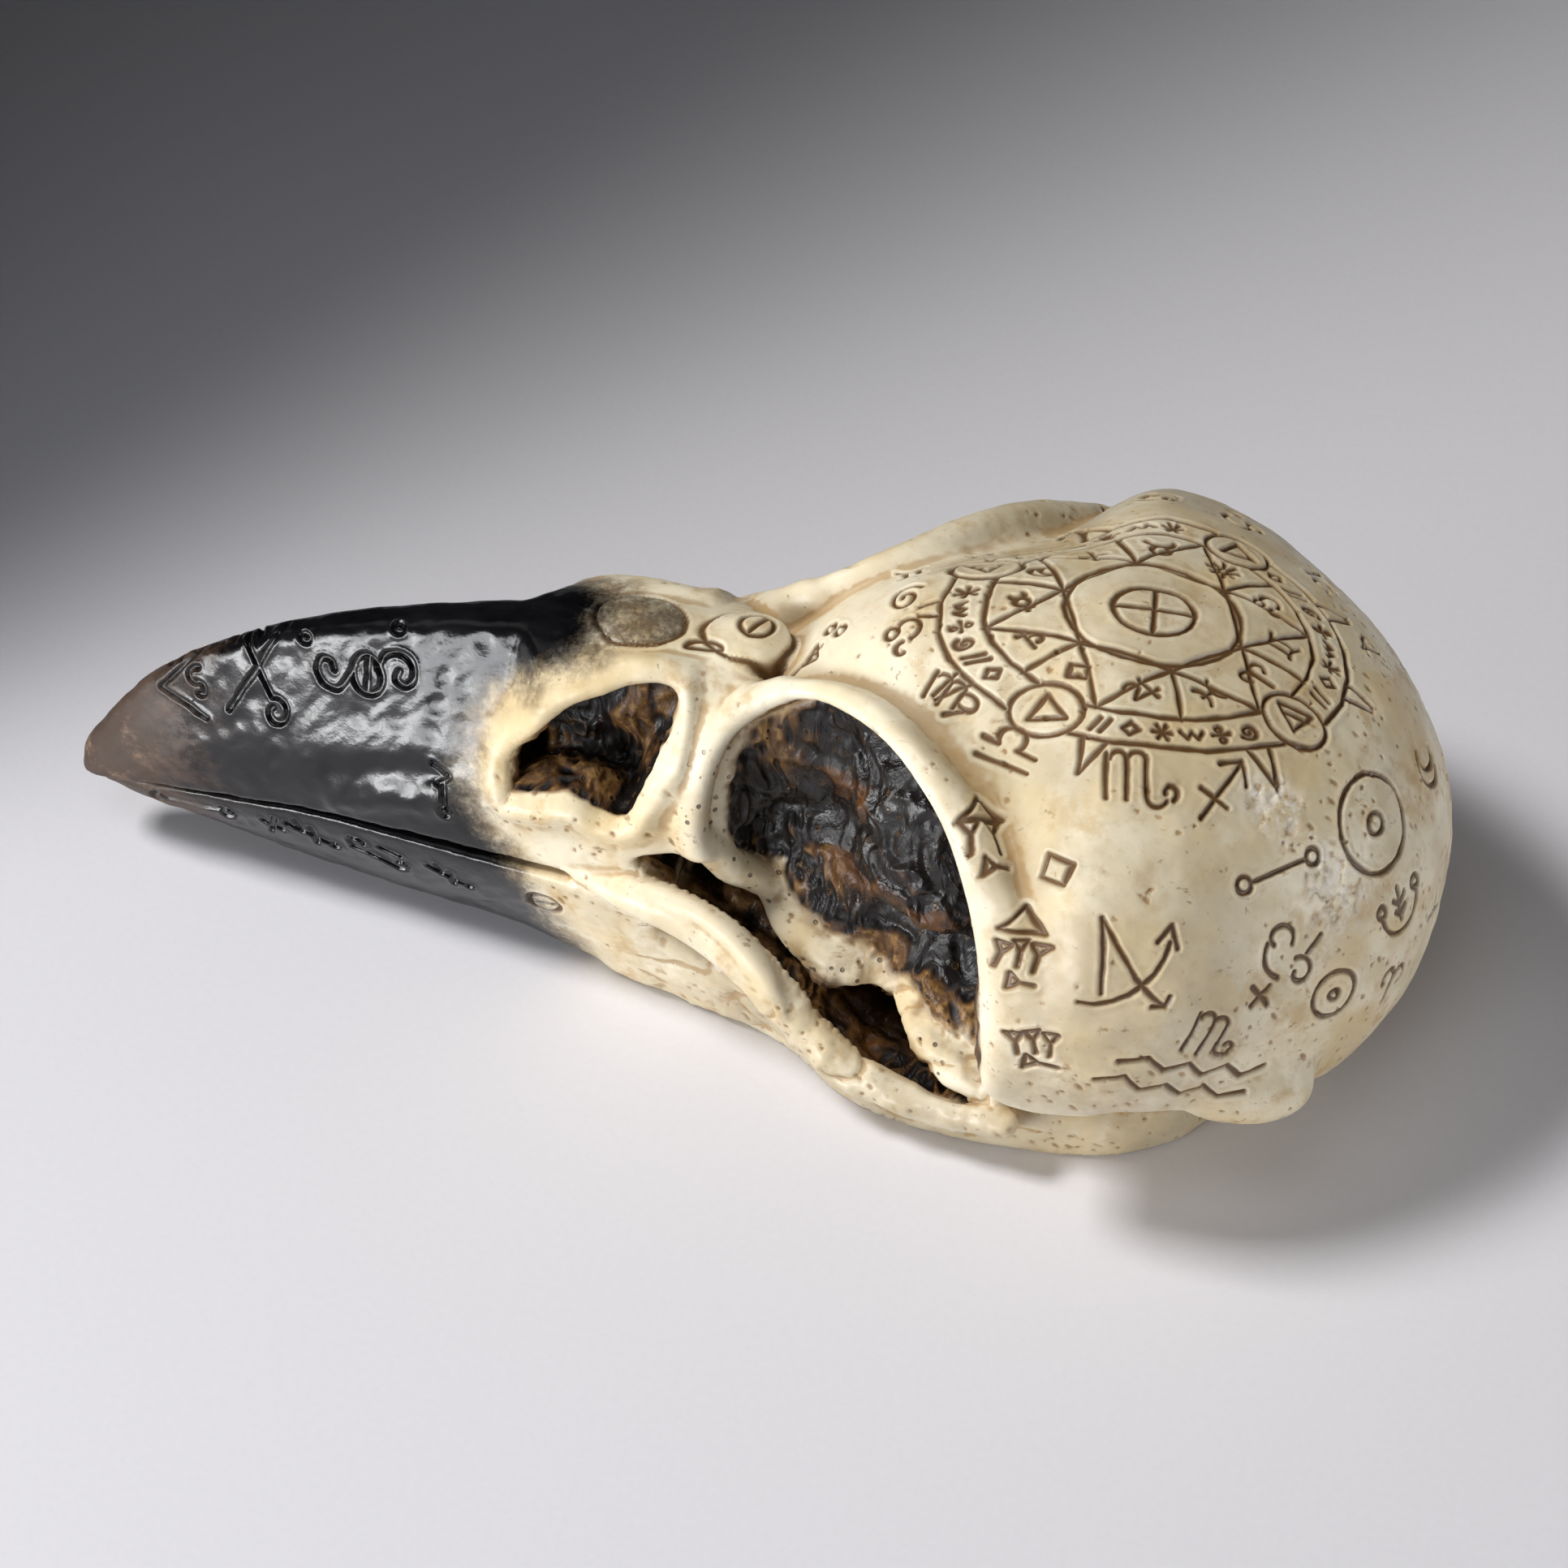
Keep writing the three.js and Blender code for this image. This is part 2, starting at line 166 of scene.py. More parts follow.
# heights of the beak's ridge and of the line of the mouth
CULMEN = curve([[-106, 15.5], [-104.6, 17.8], [-101, 23.6], [-92, 35], [-79, 44.7], [-65, 51.7],
                [-54, 55.4], [-34, 59.9], [-17, 61.9], [-2, 62], [8, 61]])
MOUTH = curve([[-106, 12.4], [-101, 13.8], [-90, 16.9], [-77, 19.6], [-64, 22], [-48, 23.6], [-35, 24.6],
               [-22, 26], [-12, 25.4], [-4, 22.3], [3, 19], [10, 14], [20, 10]])
# lower edge of the lower beak; below the table from x = -56 on, where the casting is cut flat
GONYS = curve([[-103, 11], [-94, 8.6], [-84, 6.4], [-76, 4.4], [-68, 2.2], [-60, 0.8], [-51, -0.6],
               [-34, -2.6], [-16, -9], [0, -12]])
# half widths of the upper and the lower beak
BEAK_HALF = curve([[-106, 1.2], [-104.5, 2.6], [-101, 4.2], [-90, 6.8], [-77, 9.2], [-64, 11.6], [-48, 14.6],
                   [-35, 17], [-22, 19.6], [-12, 20.6], [-4, 19], [3, 16], [8, 14]])
LOWER_HALF = curve([[-103, 1.4], [-94, 4.8], [-77, 8.6], [-64, 11.2], [-48, 14.8], [-35, 17.6], [-22, 20.8],
                    [-16, 22], [-8, 23]])
FACE_LOW = curve([[-36, 24.8], [-24, 26.2], [-14, 27], [-8, 29], [-2, 31], [8, 33]])
MARGIN = curve([[38, 29.5], [44, 28], [49, 25.2], [56, 26], [64, 27.4], [70, 26], [77, 22.6], [86, 20],
                [94, 13], [104, 4]])
# the jaw's rows are [x, widest, sole, inner side, height]; the foot's are [x, half width, height]
RAMUS = curve([[-18, 21, 14, 6, 24], [-6, 22.8, 17.6, 9, 18.8], [4, 24.6, 20.6, 12, 15],
               [13, 28, 25, 16, 12.2], [20, 32.6, 31, 20, 11.2], [28, 36, 34.6, 24, 11],
               [38, 37.6, 36.4, 27, 11],
               [50, 38, 36.8, 28, 11], [62, 36.6, 35.4, 26, 10.8], [71, 32.4, 31, 23, 9.6],
               [78, 27.4, 26, 20, 7.4]])
FOOT = curve([[-18, 6, 17], [-4, 10, 17.6], [6, 14, 17.6], [16, 18, 17.6], [28, 23, 17.6], [40, 27, 17.6],
              [50, 28.6, 17.6], [64, 28, 17.6], [76, 25.6, 16], [86, 17, 14], [90, 10, 13]])
# bars are rows of [x, distance from the middle, z, radius]
CHEEK = [[-20, 18.6, 25.4, 2.6], [-12, 21.6, 26.4, 3.2], [-4, 23.8, 26, 3.6], [4, 26.4, 23.4, 3.8],
         [12, 29.6, 18, 3.9], [16, 31.4, 13.8, 3.6], [20, 33, 11.3, 3.6], [24, 34.4, 9.9, 3.4],
         [29, 36, 8.8, 3.1], [38, 38.4, 8.7, 2.6], [47, 40, 10, 2]]
CHEEK_HEIGHT = curve([[row[0], row[2]] for row in CHEEK])
CHEEK_CURL = [[-13, 21.6, 28.6, 0.9], [-6, 23.6, 29.2, 1.3], [0, 25.6, 28.6, 1.7], [4.7, 27.5, 26.8, 2],
              [8.4, 29.7, 24, 2.1], [10.9, 31.6, 21, 1.9], [12.6, 32.8, 18.6, 1.3], [13.4, 33.2, 16.4, 0.8]]
ORBIT_RIM = [[4.5, 9.8, 58.5, 1.9], [10, 11.8, 63.6, 2.1], [17, 15.6, 67.9, 2.3], [25, 21.4, 70.2, 2.7],
             [33, 28.6, 69.4, 3.2], [39.6, 35.4, 65.6, 3.6], [44.4, 41.6, 59, 3.8], [47.2, 45.4, 51, 3.8],
             [48.6, 47, 42, 3.6], [48.8, 47.2, 34, 3.2], [48.2, 46.4, 29, 2.4]]
FRONT_LIP = [[8.5, 11.4, 62.4, 1.8], [4, 11.4, 58.8, 2.2], [0.6, 12.6, 54.8, 2.6], [-1.8, 14.8, 50, 3.0],
             [-2.8, 16.6, 44.8, 3.2], [-2.6, 17.6, 39.4, 3.5], [-1.0, 17.8, 35, 3.6], [2.2, 17.2, 32.4, 3.1],
             [6, 16, 31, 2.2]]
# the lip's lower end runs on to the shelf
LOBE = [[-2, 17.2, 36, 2.6], [1.6, 16.8, 31.2, 2.7], [4.4, 16, 28.8, 2.5], [7, 15.4, 26.4, 2.2]]
# how far out the lip lies at each height
LIP_SIDE = curve([[30, 17.6], [35, 17.8], [39.4, 17.6], [44.8, 16.6], [50, 14.8], [55, 12.6], [60, 11.4]])
# the lower edge of the bone between the orbits: [x, distance from the middle, z]
SHELF = [[-4, 11, 26], [3, 13.6, 24.6], [7, 16, 23.4], [11, 20.4, 21.8], [15, 23.4, 20.4], [20, 25, 19],
         [25, 24.2, 17.8], [28, 25.6, 17], [32, 31, 15.9], [37.5, 35.6, 14.2], [42, 37, 13], [46, 38, 12.6]]
SHELF_THICK = (1.0, 1.7, 2.5, 2.7, 2.3, 1.0, 0.9, 1.9, 2.5, 2.4)
# how far out the cheek's inner face and the orbit's rim lie
CHEEK_FACE = curve([[-20, 16.6], [-12, 19.4], [-4, 22], [4, 24.6], [12, 27.8], [20, 31.4], [29, 34.6],
                    [38, 37.2], [47, 39]])
RIM_SIDE = curve([[-2, 12], [4, 10.4], [10, 12], [17, 15.8], [25, 21.6], [33, 28.8], [39.6, 35.6],
                  [44.4, 41.8], [48, 46]])
JAW_CREASE = [[-20, 22.4, 24.6], [-12, 24.8, 24.4], [-5, 26.4, 23.2], [2, 28, 20.4], [8, 29.6, 16.6],
              [13, 31, 12.4]]
BAND_GROOVE = [[33, 22, 74], [42.2, 30.4, 69.1], [46, 35.7, 65.4], [48.6, 40.1, 61.1], [51, 43.9, 56],
               [53.4, 46.8, 49.5], [54.4, 48.2, 44], [55, 49, 38]]
# outlines of the openings seen from the side: [x, z]
ORBIT = [[-1.6, 40], [-1.2, 46.4], [0.8, 53.4], [5, 58.6], [10.6, 63.8], [17, 67.8], [24, 69.7], [30, 69],
         [35, 66.4], [39, 61], [42, 54.4], [43.7, 47], [44.2, 38], [44, 27], [41.5, 17], [36, 13.6],
         [28, 16], [19, 20.6], [10, 26], [2, 30.4], [-5, 31.6], [-11.6, 31.4], [-10.6, 33.2], [-4, 34],
         [0.6, 33.2], [-0.4, 36]]
CREVICE = [[-12, 31.4], [-7, 26.6], [0, 21.6], [8, 15.6], [15, 10.6], [22, 7.4], [30, 6], [37, 7],
           [41.5, 10.5], [44, 17], [45, 27], [30, 35], [10, 37], [-5, 34]]
NARIS = [[-31.8, 38], [-32.2, 43], [-29.5, 47.8], [-25.9, 52.1], [-22.4, 55.2], [-17.6, 57.4], [-13.4, 59],
         [-8.6, 59.4], [-6.6, 57.8], [-6.9, 54], [-9, 49.8], [-11, 44.8], [-13.2, 40.2], [-17.3, 39.4],
         [-21.6, 41], [-26.8, 39.3]]
# how far back the lacquer reaches at each height
LACQUER_EDGE = curve([[0, -23], [12, -26], [20, -29], [26, -31], [34, -37], [44, -38.5], [50, -36],
                      [55, -31], [59, -25], [62, -19], [66, -17]])
HINGE_PADS = [((-15, 0, 60.6), (6.6, 4.8, 2.6)), ((1, 0, 60.4), (7, 5.2, 3.1))]
# a flat cut low on each side of the beak, and the raised edge under it
FACET = [[-60, 11.8, 32.2], [-52, 12.7, 35.2], [-43, 13.9, 37.6]]
FACET_EDGE = [[-60.4, 12.6, 26.6], [-52, 13.8, 30], [-43.6, 15.1, 32.2]]
# places rubbed down to the white, with their sizes
SCUFFS = [((79.5, -23.1, 66.6), 5), ((89.8, -25.9, 55.1), 6.5), ((92, 22, 52), 6)]
# the beak's flat flank: its lean, and where it passes, as shares of half width and height
FLANK_LEAN, FLANK_OUT, FLANK_UP = 1.21, 0.97, 0.34
OCCIPUT_LOBE = ((79, 37.4, 25.4), (11.5, 7, 6.4))
ORBIT_SWELLING = ((34, 12, 42), (15, 15, 24))
# the brows are pressed this far along a line that runs in and down from each side
PRESSED = 5.6
PRESSED_FROM = (0.135, 0.6685, 0.731)

# ------------------------------------------------------------------ the skull as a distance field


def egg(p, centre, radii):
    """Distance to an ellipsoid."""
    q = (p - np.array(centre)) / radii
    k0 = np.sqrt((q * q).sum(1)) + 1e-9
    k1 = np.sqrt(((q / radii) ** 2).sum(1)) + 1e-9
    return k0 * (k0 - 1) / k1


def bar(p, rows, reach=7.0):
    """Distance to a round bar whose radius changes along it, true up to reach."""
    line = stations(rows)
    out = np.full(len(p), reach)
    margin = line[:, 3].max() + reach
    close = np.all((p > line[:, :3].min(0) - margin) & (p < line[:, :3].max(0) + margin), axis=1)
    q = p[close]
    best = np.full(len(q), reach)
    for a, b in zip(line[:-1], line[1:]):
        ab = b[:3] - a[:3]
        h = np.clip(((q - a[:3]) @ ab) / (ab @ ab), 0, 1)
        away = np.linalg.norm(q - a[:3] - h[:, None] * ab, axis=1)
        best = np.minimum(best, away - (a[3] + (b[3] - a[3]) * h))
    out[close] = best
    return out


def thread(p, rows, reach=7.0):
    """Distance to a line without thickness."""
    return bar(p, [row + [0] for row in rows], reach)


def outline_distance(rows):
    """Distance to a closed outline in x and z, less than 0 inside, looked up on a fine grid."""
    step = 0.5
    loop = stations(rows + [rows[0]], 3)
    low = loop.min(0) - 10
    size = np.ceil((loop.max(0) + 10 - low) / step).astype(int) + 1
    gx, gz = np.meshgrid(*(low[k] + np.arange(size[k]) * step for k in (0, 1)), indexing="ij")
    best = np.full(gx.shape, 1e9)
    inside = np.zeros(gx.shape, bool)
    for (ax, az), (bx, bz) in zip(loop[:-1], loop[1:]):
        dx, dz = bx - ax, bz - az
        h = np.clip(((gx - ax) * dx + (gz - az) * dz) / (dx * dx + dz * dz + 1e-12), 0, 1)
        best = np.minimum(best, np.hypot(gx - ax - h * dx, gz - az - h * dz))
        crosses = (az > gz) != (bz > gz)
        inside ^= crosses & (gx < ax + (gz - az) * dx / (dz if dz else 1e-12))
    grid = np.where(inside, -best, best)

    def at(x, z):
        u = np.clip((x - low[0]) / step, 0, size[0] - 1.001)
        v = np.clip((z - low[1]) / step, 0, size[1] - 1.001)
        i, j = u.astype(int), v.astype(int)
        s, t = u - i, v - j
        return ((grid[i, j] * (1 - s) + grid[i + 1, j] * s) * (1 - t)
                + (grid[i, j + 1] * (1 - s) + grid[i + 1, j + 1] * s) * t)
    return at


orbit_at = outline_distance(ORBIT)
naris_at = outline_distance(NARIS)
crevice_at = outline_distance(CREVICE)
shelf_at = curve(SHELF)
SHELF_BEAD = [[x, side - 1.6, z + 0.2, r] for (x, side, z), r in zip(SHELF[1:-1], SHELF_THICK)]


def arch(y, rise, half, height, side=2.35, roof=2.17):
    """Distance to a vaulted section half wide and height high."""
    u = np.maximum(y, 0) / half
    v = np.abs(rise) / height
    s = u ** side + v ** roof + 1e-12
    e = 2.0 / (side + roof)
    across = e * s ** (e - 1) * side * u ** (side - 1) / half
    up = e * s ** (e - 1) * roof * v ** (roof - 1) / height
    return (s ** e - 1) / np.sqrt(across ** 2 + up ** 2 + 1e-4)


def upper_beak(x, y, z):
    """Vaulted, with a flat flank that leans in, cut square at the mouth."""
    foot = np.where(x < -14, MOUTH(x), FACE_LOW(x))
    half, high = BEAK_HALF(x), CULMEN(x) - foot
    d = arch(y, z - foot, half, high)
    lean = np.arctan(FLANK_LEAN * half / high)
    flank = (y - FLANK_OUT * half) * np.cos(lean) + (z - foot - FLANK_UP * high) * np.sin(lean)
    d = keep(d, flank - 9 * ramp(-34, -20, x), 1.2)
    d = keep(d, foot - z, 1.2)
    d = keep(d, -SKULL_END - x, 1.5)
    return keep(d, x - 4, 3)


def lower_beak(x, y, z):
    rim = MOUTH(x) - 0.2
    d = arch(y, rim - z, LOWER_HALF(x), rim - GONYS(x), 2.2, 1.6)
    d = keep(d, z - rim, 1.0)
    d = keep(d, -102.4 - x, 1.5)
    return keep(d, x + 8, 4)


def jaw_wall(x, z):
    """How far out the jaw's side lies, which leans in to its sole."""
    outer, sole, _, top = RAMUS(x)
    return sole + (outer - sole) * np.sqrt(np.clip(z / top, 0, 1))


def jaw_ramus(x, y, z):
    _, _, inner, top = RAMUS(x)
    d = keep((y - jaw_wall(x, z)) * 0.95, z - top, 5.0)
    d = keep(d, inner - y, 3)
    d = keep(d, -19 - x, 3)
    return keep(d, (x - 76) * 0.9, 6)


def skull_base(x, y, z):
    half, top = FOOT(x)
    d = keep(y - half, z - top, 4)
    d = keep(d, x - 88, 5)
    return keep(d, -20 - x, 4)


def cranium(p):
    d = join(egg(p, *CRANIUM), egg(p, *TEMPLE), 6)
    return keep(d, MARGIN(p[:, 0]) - p[:, 2], 3.5)


def side_plug(x, y, z):
    """Closes the gap between cranium and cheek, for the orbit and the crevice to be cut from."""
    d = keep(y - (CHEEK_FACE(x) + 0.4), z - 33, 3)
    d = keep(d, CHEEK_HEIGHT(x) - 1.5 - z, 2)
    d = keep(d, x - 47, 2)
    return keep(d, -12 - x, 2)


def filled_skull(p):
    """The outer form with its sockets and nostrils still filled."""
    x, y, z = p.T
    d = join(cranium(p), upper_beak(x, y, z), 5)
    for centre, radii in HINGE_PADS:
        d = join(d, egg(p, centre, radii), 1.8)
    d = join(d, bar(p, ORBIT_RIM), 3.4)
    d = join(d, side_plug(x, y, z), 1.5)
    d = join(d, bar(p, FRONT_LIP), 3.2)
    d = d + 1.1 * np.exp(-(thread(p, BAND_GROOVE) / 3.2) ** 2)
    d = join(d, egg(p, *OCCIPUT_LOBE), 3)
    nape = keep(egg(p, *NAPE), 44 - x, 4)
    d = join(d, keep(nape, z - 30, 3), 2.5)
    d = join(d, lower_beak(x, y, z), 0.5)
    d = join(d, jaw_ramus(x, y, z), 1.5)
    d = join(d, skull_base(x, y, z), 2)
    d = join(d, bar(p, CHEEK), 1.6)
    d = join(d, bar(p, CHEEK_CURL), 0.9)
    d = d + 1.0 * np.exp(-(thread(p, JAW_CREASE) / 1.1) ** 2)
    d = d + 0.7 * np.exp(-(thread(p, FACET) / 2.2) ** 2) - 0.7 * np.exp(-(thread(p, FACET_EDGE) / 2.2) ** 2)
    d = d + 0.6 * np.exp(-((z - MOUTH(x) + 0.2) / 0.8) ** 2) * ramp(-14, -20, x)
    nostril_edge = naris_at(x, z)
    d = d - 1.3 * np.exp(-((nostril_edge - 2.0) / 2.0) ** 2) * ramp(5, 8, y) * ramp(-3, -6, x)
    return keep(d, -z, 0.8)


def orbit_roof(x, y, z):
    """The orbit's outline: its roof comes down and its front wall slopes back towards the middle."""
    back = 1.5 * np.maximum(LIP_SIDE(z) - y, 0) * ramp(26, 12, x) * ramp(28, 33, z)
    return orbit_at(x - back, z + 0.6 * np.maximum(RIM_SIDE(x) - y, 0) * ramp(46, 60, z))


def orbit_wall(x, z):
    """Distance from the middle of the bone between the orbits, which swells out to its lower shelf."""
    thin = 8.5 + 0.26 * (x + 1) + 2.4 * ramp(9, -1, x)
    side, low = shelf_at(x)
    swell = np.clip((low + 25 - z) / 25, 0, 1) ** 1.5
    wall = thin + (side - thin) * swell
    return np.maximum(wall - 1.3 * np.maximum(low - z, 0), thin - 3)


def unsettled(p):
    """Where each point was before the brows were pressed in and down."""
    x, y, z = p.T
    side = np.abs(y)
    pressed = PRESSED * ramp(2, 20, side) * ramp(-2, 14, x) * ramp(58, 40, x) * ramp(30, 52, z)
    ahead, out, up = PRESSED_FROM
    return p + pressed[:, None] * np.column_stack([ahead + 0 * x, out * np.sign(y), up + 0 * x])


def mirrored(p):
    return np.column_stack([p[:, 0], np.abs(p[:, 1]), p[:, 2]])


def skull(p):
    return open_skull(unsettled(p))


def open_skull(p):
    """The whole form: the filled skull less orbits, nostrils and the crevice inside the cheek."""
    p = mirrored(p)
    x, y, z = p.T
    d = filled_skull(p)
    wall = orbit_wall(x, z)
    hollow = keep(orbit_roof(x, y, z), wall - y, 2.0)
    hollow = keep(hollow, -egg(p, *ORBIT_SWELLING), 4.0)
    teeth = 0.5 * np.abs(np.sin(1.9 * x)) + 0.5 * np.abs(np.sin(3.1 * x + 1)) - 0.5
    crevice = keep(keep(crevice_at(x, z), wall - y, 1.5), y - CHEEK_FACE(x) + teeth * ramp(30, 14, x), 0.8)
    d = keep(d, -join(hollow, crevice, 1.0), 1.9)
    d = join(d, keep(bar(p, SHELF_BEAD), orbit_at(x, z) - 6, 1.0), 1.6)
    d = join(d, bar(p, LOBE), 1.6)
    nostril = keep(naris_at(x, z) + 0.4, 6.4 - y, 2.0)
    return keep(d, -nostril, 1.6)


def slope(field, p, gap=0.06):
    """Value and gradient of a field."""
    at = field(p)
    return at, np.stack([(field(p + gap * axis) - at) / gap for axis in np.eye(3)], 1)


def settle(p, most=0.7, field=skull):
    """Moves points onto the skull's surface; gives them and which way the surface faces there."""
    at, grad = slope(field, p)
    steep = (grad ** 2).sum(1)
    p = p - np.clip(at / np.maximum(steep, 0.25), -most, most)[:, None] * grad
    return p, grad / np.sqrt(np.maximum(steep, 1e-9))[:, None]


# ------------------------------------------------------------------ from field to mesh


def surface_net(value, origin, step):
    """One point in each cell that the surface crosses, and one quad across each crossed edge."""
    inside = value < 0
    size = np.array(value.shape) - 1
    count = np.zeros(size, np.int8)
    for c in np.ndindex(2, 2, 2):
        count += inside[c[0]:c[0] + size[0], c[1]:c[1] + size[1], c[2]:c[2] + size[2]]
    cells = np.argwhere((count > 0) & (count < 8))
    number = np.full(size, -1, np.int64)
    number[tuple(cells.T)] = np.arange(len(cells))
    corner = {c: value[tuple((cells + c).T)] for c in np.ndindex(2, 2, 2)}
    total = np.zeros((len(cells), 3))
    crossings = np.zeros(len(cells))
    for axis in range(3):
        for pair in np.ndindex(2, 2):
            start = list(pair)
            start.insert(axis, 0)
            end = list(pair)
            end.insert(axis, 1)
            a, b = corner[tuple(start)], corner[tuple(end)]
            crossed = (a < 0) != (b < 0)
            t = np.where(crossed, a / np.where(crossed, a - b, 1), 0)
            at = np.array(start, float) + t[:, None] * np.eye(3)[axis]
            total += at * crossed[:, None]
            crossings += crossed
    points = origin + (cells + total / crossings[:, None]) * step
    quads = []
    for axis in range(3):
        u, w = np.eye(3, dtype=int)[(axis + 1) % 3], np.eye(3, dtype=int)[(axis + 2) % 3]
        here = [slice(None)] * 3
        there = [slice(None)] * 3
        here[axis] = slice(0, -1)
        there[axis] = slice(1, None)
        edge = np.argwhere(inside[tuple(here)] != inside[tuple(there)])
        ok = np.all((edge >= u + w) & (edge < size), axis=1)
        edge = edge[ok]
        around = np.stack([number[tuple((edge - s).T)] for s in (u + w, w, 0 * u, u)], 1)
        outward = inside[tuple(edge.T)]
        quads.append(np.where(outward[:, None], around, around[:, ::-1]))
    return points, np.concatenate(quads)


def neighbours_mean(points, faces):
    """Mean of each point's neighbours."""
    a = faces.ravel()
    b = np.roll(faces, -1, axis=1).ravel()
    both, other = np.concatenate([a, b]), np.concatenate([b, a])
    total = np.stack([np.bincount(both, points[other, k], len(points)) for k in range(3)], 1)
    return total / np.maximum(np.bincount(both, minlength=len(points)), 1)[:, None]


def split_long_edges(points, normal, notes, faces, tags, wanted):
    """Splits each edge longer than wanted, and its triangles, with the new point on the curve between."""
    n = len(points)
    sides = np.stack([faces, np.roll(faces, -1, axis=1)], 2)
    low, high = sides.min(2), sides.max(2)
    key, index = np.unique(low * n + high, return_inverse=True)
    index = index.reshape(faces.shape)
    a, b = key // n, key % n
    along = points[b] - points[a]
    facing = normal[a] + normal[b]
    facing /= np.maximum(np.linalg.norm(facing, axis=1), 1e-9)[:, None]
    rise_a = (along * normal[a]).sum(1)[:, None] * normal[a]
    rise_b = (along * normal[b]).sum(1)[:, None] * normal[b]
    middle = (points[a] + points[b]) / 2 - (rise_a - rise_b) / 8
    note = (notes[a] + notes[b]) / 2
    cut = wanted(middle, facing, note, np.linalg.norm(along, axis=1))
    new = np.full(len(key), -1)
    new[cut] = n + np.arange(cut.sum())
    mid = new[index]
    many = (mid >= 0).sum(1)
    out = [faces[many == 0]]
    out_tags = [tags[many == 0]]

    def add(rows, t):
        out.append(np.stack(rows, 1))
        out_tags.append(t)

    f, m, t = faces[many == 3], mid[many == 3], tags[many == 3]
    for k in range(3):
        add([f[:, k], m[:, k], m[:, k - 1]], t)
    add([m[:, 0], m[:, 1], m[:, 2]], t)
    for k in range(3):
        one = (many == 1) & (mid[:, k] >= 0)
        f, m, t = faces[one], mid[one, k], tags[one]
        p, q, r = f[:, k], f[:, (k + 1) % 3], f[:, (k + 2) % 3]
        add([p, m, r], t)
        add([m, q, r], t)
        two = (many == 2) & (mid[:, k] < 0)
        f, m, t = faces[two], mid[two], tags[two]
        p, q, r = f[:, (k + 1) % 3], f[:, (k + 2) % 3], f[:, k]
        first, second = m[:, (k + 1) % 3], m[:, (k + 2) % 3]
        add([first, q, second], t)
        add([p, first, second], t)
        add([p, second, r], t)
    points = np.concatenate([points, middle[cut]])
    normal = np.concatenate([normal, facing[cut]])
    notes = np.concatenate([notes, note[cut]])
    return points, normal, notes, np.concatenate(out), np.concatenate(out_tags)


def normals_of(points, faces):
    a, b, c = (points[faces[:, k]] for k in range(3))
    n = np.cross(b - a, c - a)
    total = np.zeros_like(points)
    for k in range(3):
        for axis in range(3):
            total[:, axis] += np.bincount(faces[:, k], n[:, axis], len(points))
    return total / np.maximum(np.linalg.norm(total, axis=1), 1e-12)[:, None]


# ------------------------------------------------------------------ carved signs

# Each sign is a list of strokes in its own flat frame, about 2 high, x to the right and y up.


def arc(cx, cy, r, start, end, squash=1.0):
    t = np.radians(np.linspace(start, end, max(4, int(abs(end - start) / 14) + 2)))
    return np.column_stack([cx + r * np.cos(t), cy + r * squash * np.sin(t)])


def ring(cx, cy, r, squash=1.0):
    return arc(cx, cy, r, 0, 360, squash)


def curl(cx, cy, r, start, sweep, end_share=0.3):
    """A line that winds inwards."""
    t = np.linspace(0, 1, max(6, int(abs(sweep) / 16)))
    a = np.radians(start + sweep * t)
    reach = r * (1 + (end_share - 1) * t)
    return np.column_stack([cx + reach * np.cos(a), cy + reach * np.sin(a)])


def path(*points):
    return np.array(points, float)


def shifted(strokes, dx, dy, size=1.0, turn=0.0):
    c, s = np.cos(np.radians(turn)), np.sin(np.radians(turn))
    spin = np.array([[c, s], [-s, c]])
    return [stroke @ spin * size + (dx, dy) for stroke in strokes]


def aries():
    return [curl(-0.5, 0.5, 0.5, 250, -250, 0.8), curl(0.5, 0.5, 0.5, -70, 250, 0.8),
            path((-0.05, 0.5), (0, -1)), path((0.05, 0.5), (0, -1))]


def taurus():
    return [ring(0, -0.4, 0.55), arc(0, 1.0, 0.85, 200, 340)]


def gemini():
    return [arc(0, 1.9, 1.2, 235, 305), arc(0, -1.9, 1.2, 55, 125), path((-0.35, -0.8), (-0.35, 0.8)),
            path((0.35, -0.8), (0.35, 0.8))]


def cancer():
    return [ring(-0.55, 0.3, 0.28), arc(0, -0.2, 0.95, 145, 30, 0.8), ring(0.55, -0.3, 0.28),
            arc(0, 0.2, 0.95, -35, -150, 0.8)]


def leo():
    return [ring(-0.5, -0.2, 0.32), arc(0.05, 0.4, 0.6, 215, -20), curl(0.75, -0.5, 0.45, 140, 200, 0.5)]


def em():
    """Three stems joined by two humps."""
    return [path((-1, 0.6), (-0.9, -0.8)), arc(-0.6, 0.4, 0.28, 170, 0), path((-0.32, 0.45), (-0.32, -0.8)),
            arc(-0.04, 0.4, 0.28, 170, 0), path((0.24, 0.45), (0.24, -0.6))]


def virgo():
    return em() + [arc(0.55, 0, 0.4, 140, -130), path((0.6, -0.5), (0.1, -1.1))]


def libra():
    return [path((-1, -0.7), (1, -0.7)), path((-1, -0.1), (-0.35, -0.1)), arc(0, 0.2, 0.46, 220, -40),
            path((0.35, -0.1), (1, -0.1))]


def scorpio():
    return em() + [arc(0.6, -0.6, 0.36, 180, 330), curl(0.98, -0.5, 0.28, -60, 250, 0.45)]


def sagittarius():
    return [path((-0.9, -0.9), (0.9, 0.9)), path((0.1, 0.9), (0.9, 0.9), (0.9, 0.1)),
            path((-0.7, 0.1), (0.1, -0.6))]


def capricorn():
    return [path((-0.9, 0.7), (-0.5, -0.6), (-0.1, 0.7)), arc(0.2, -0.3, 0.4, 140, -150),
            path((-0.1, 0.7), (0, -0.9))]


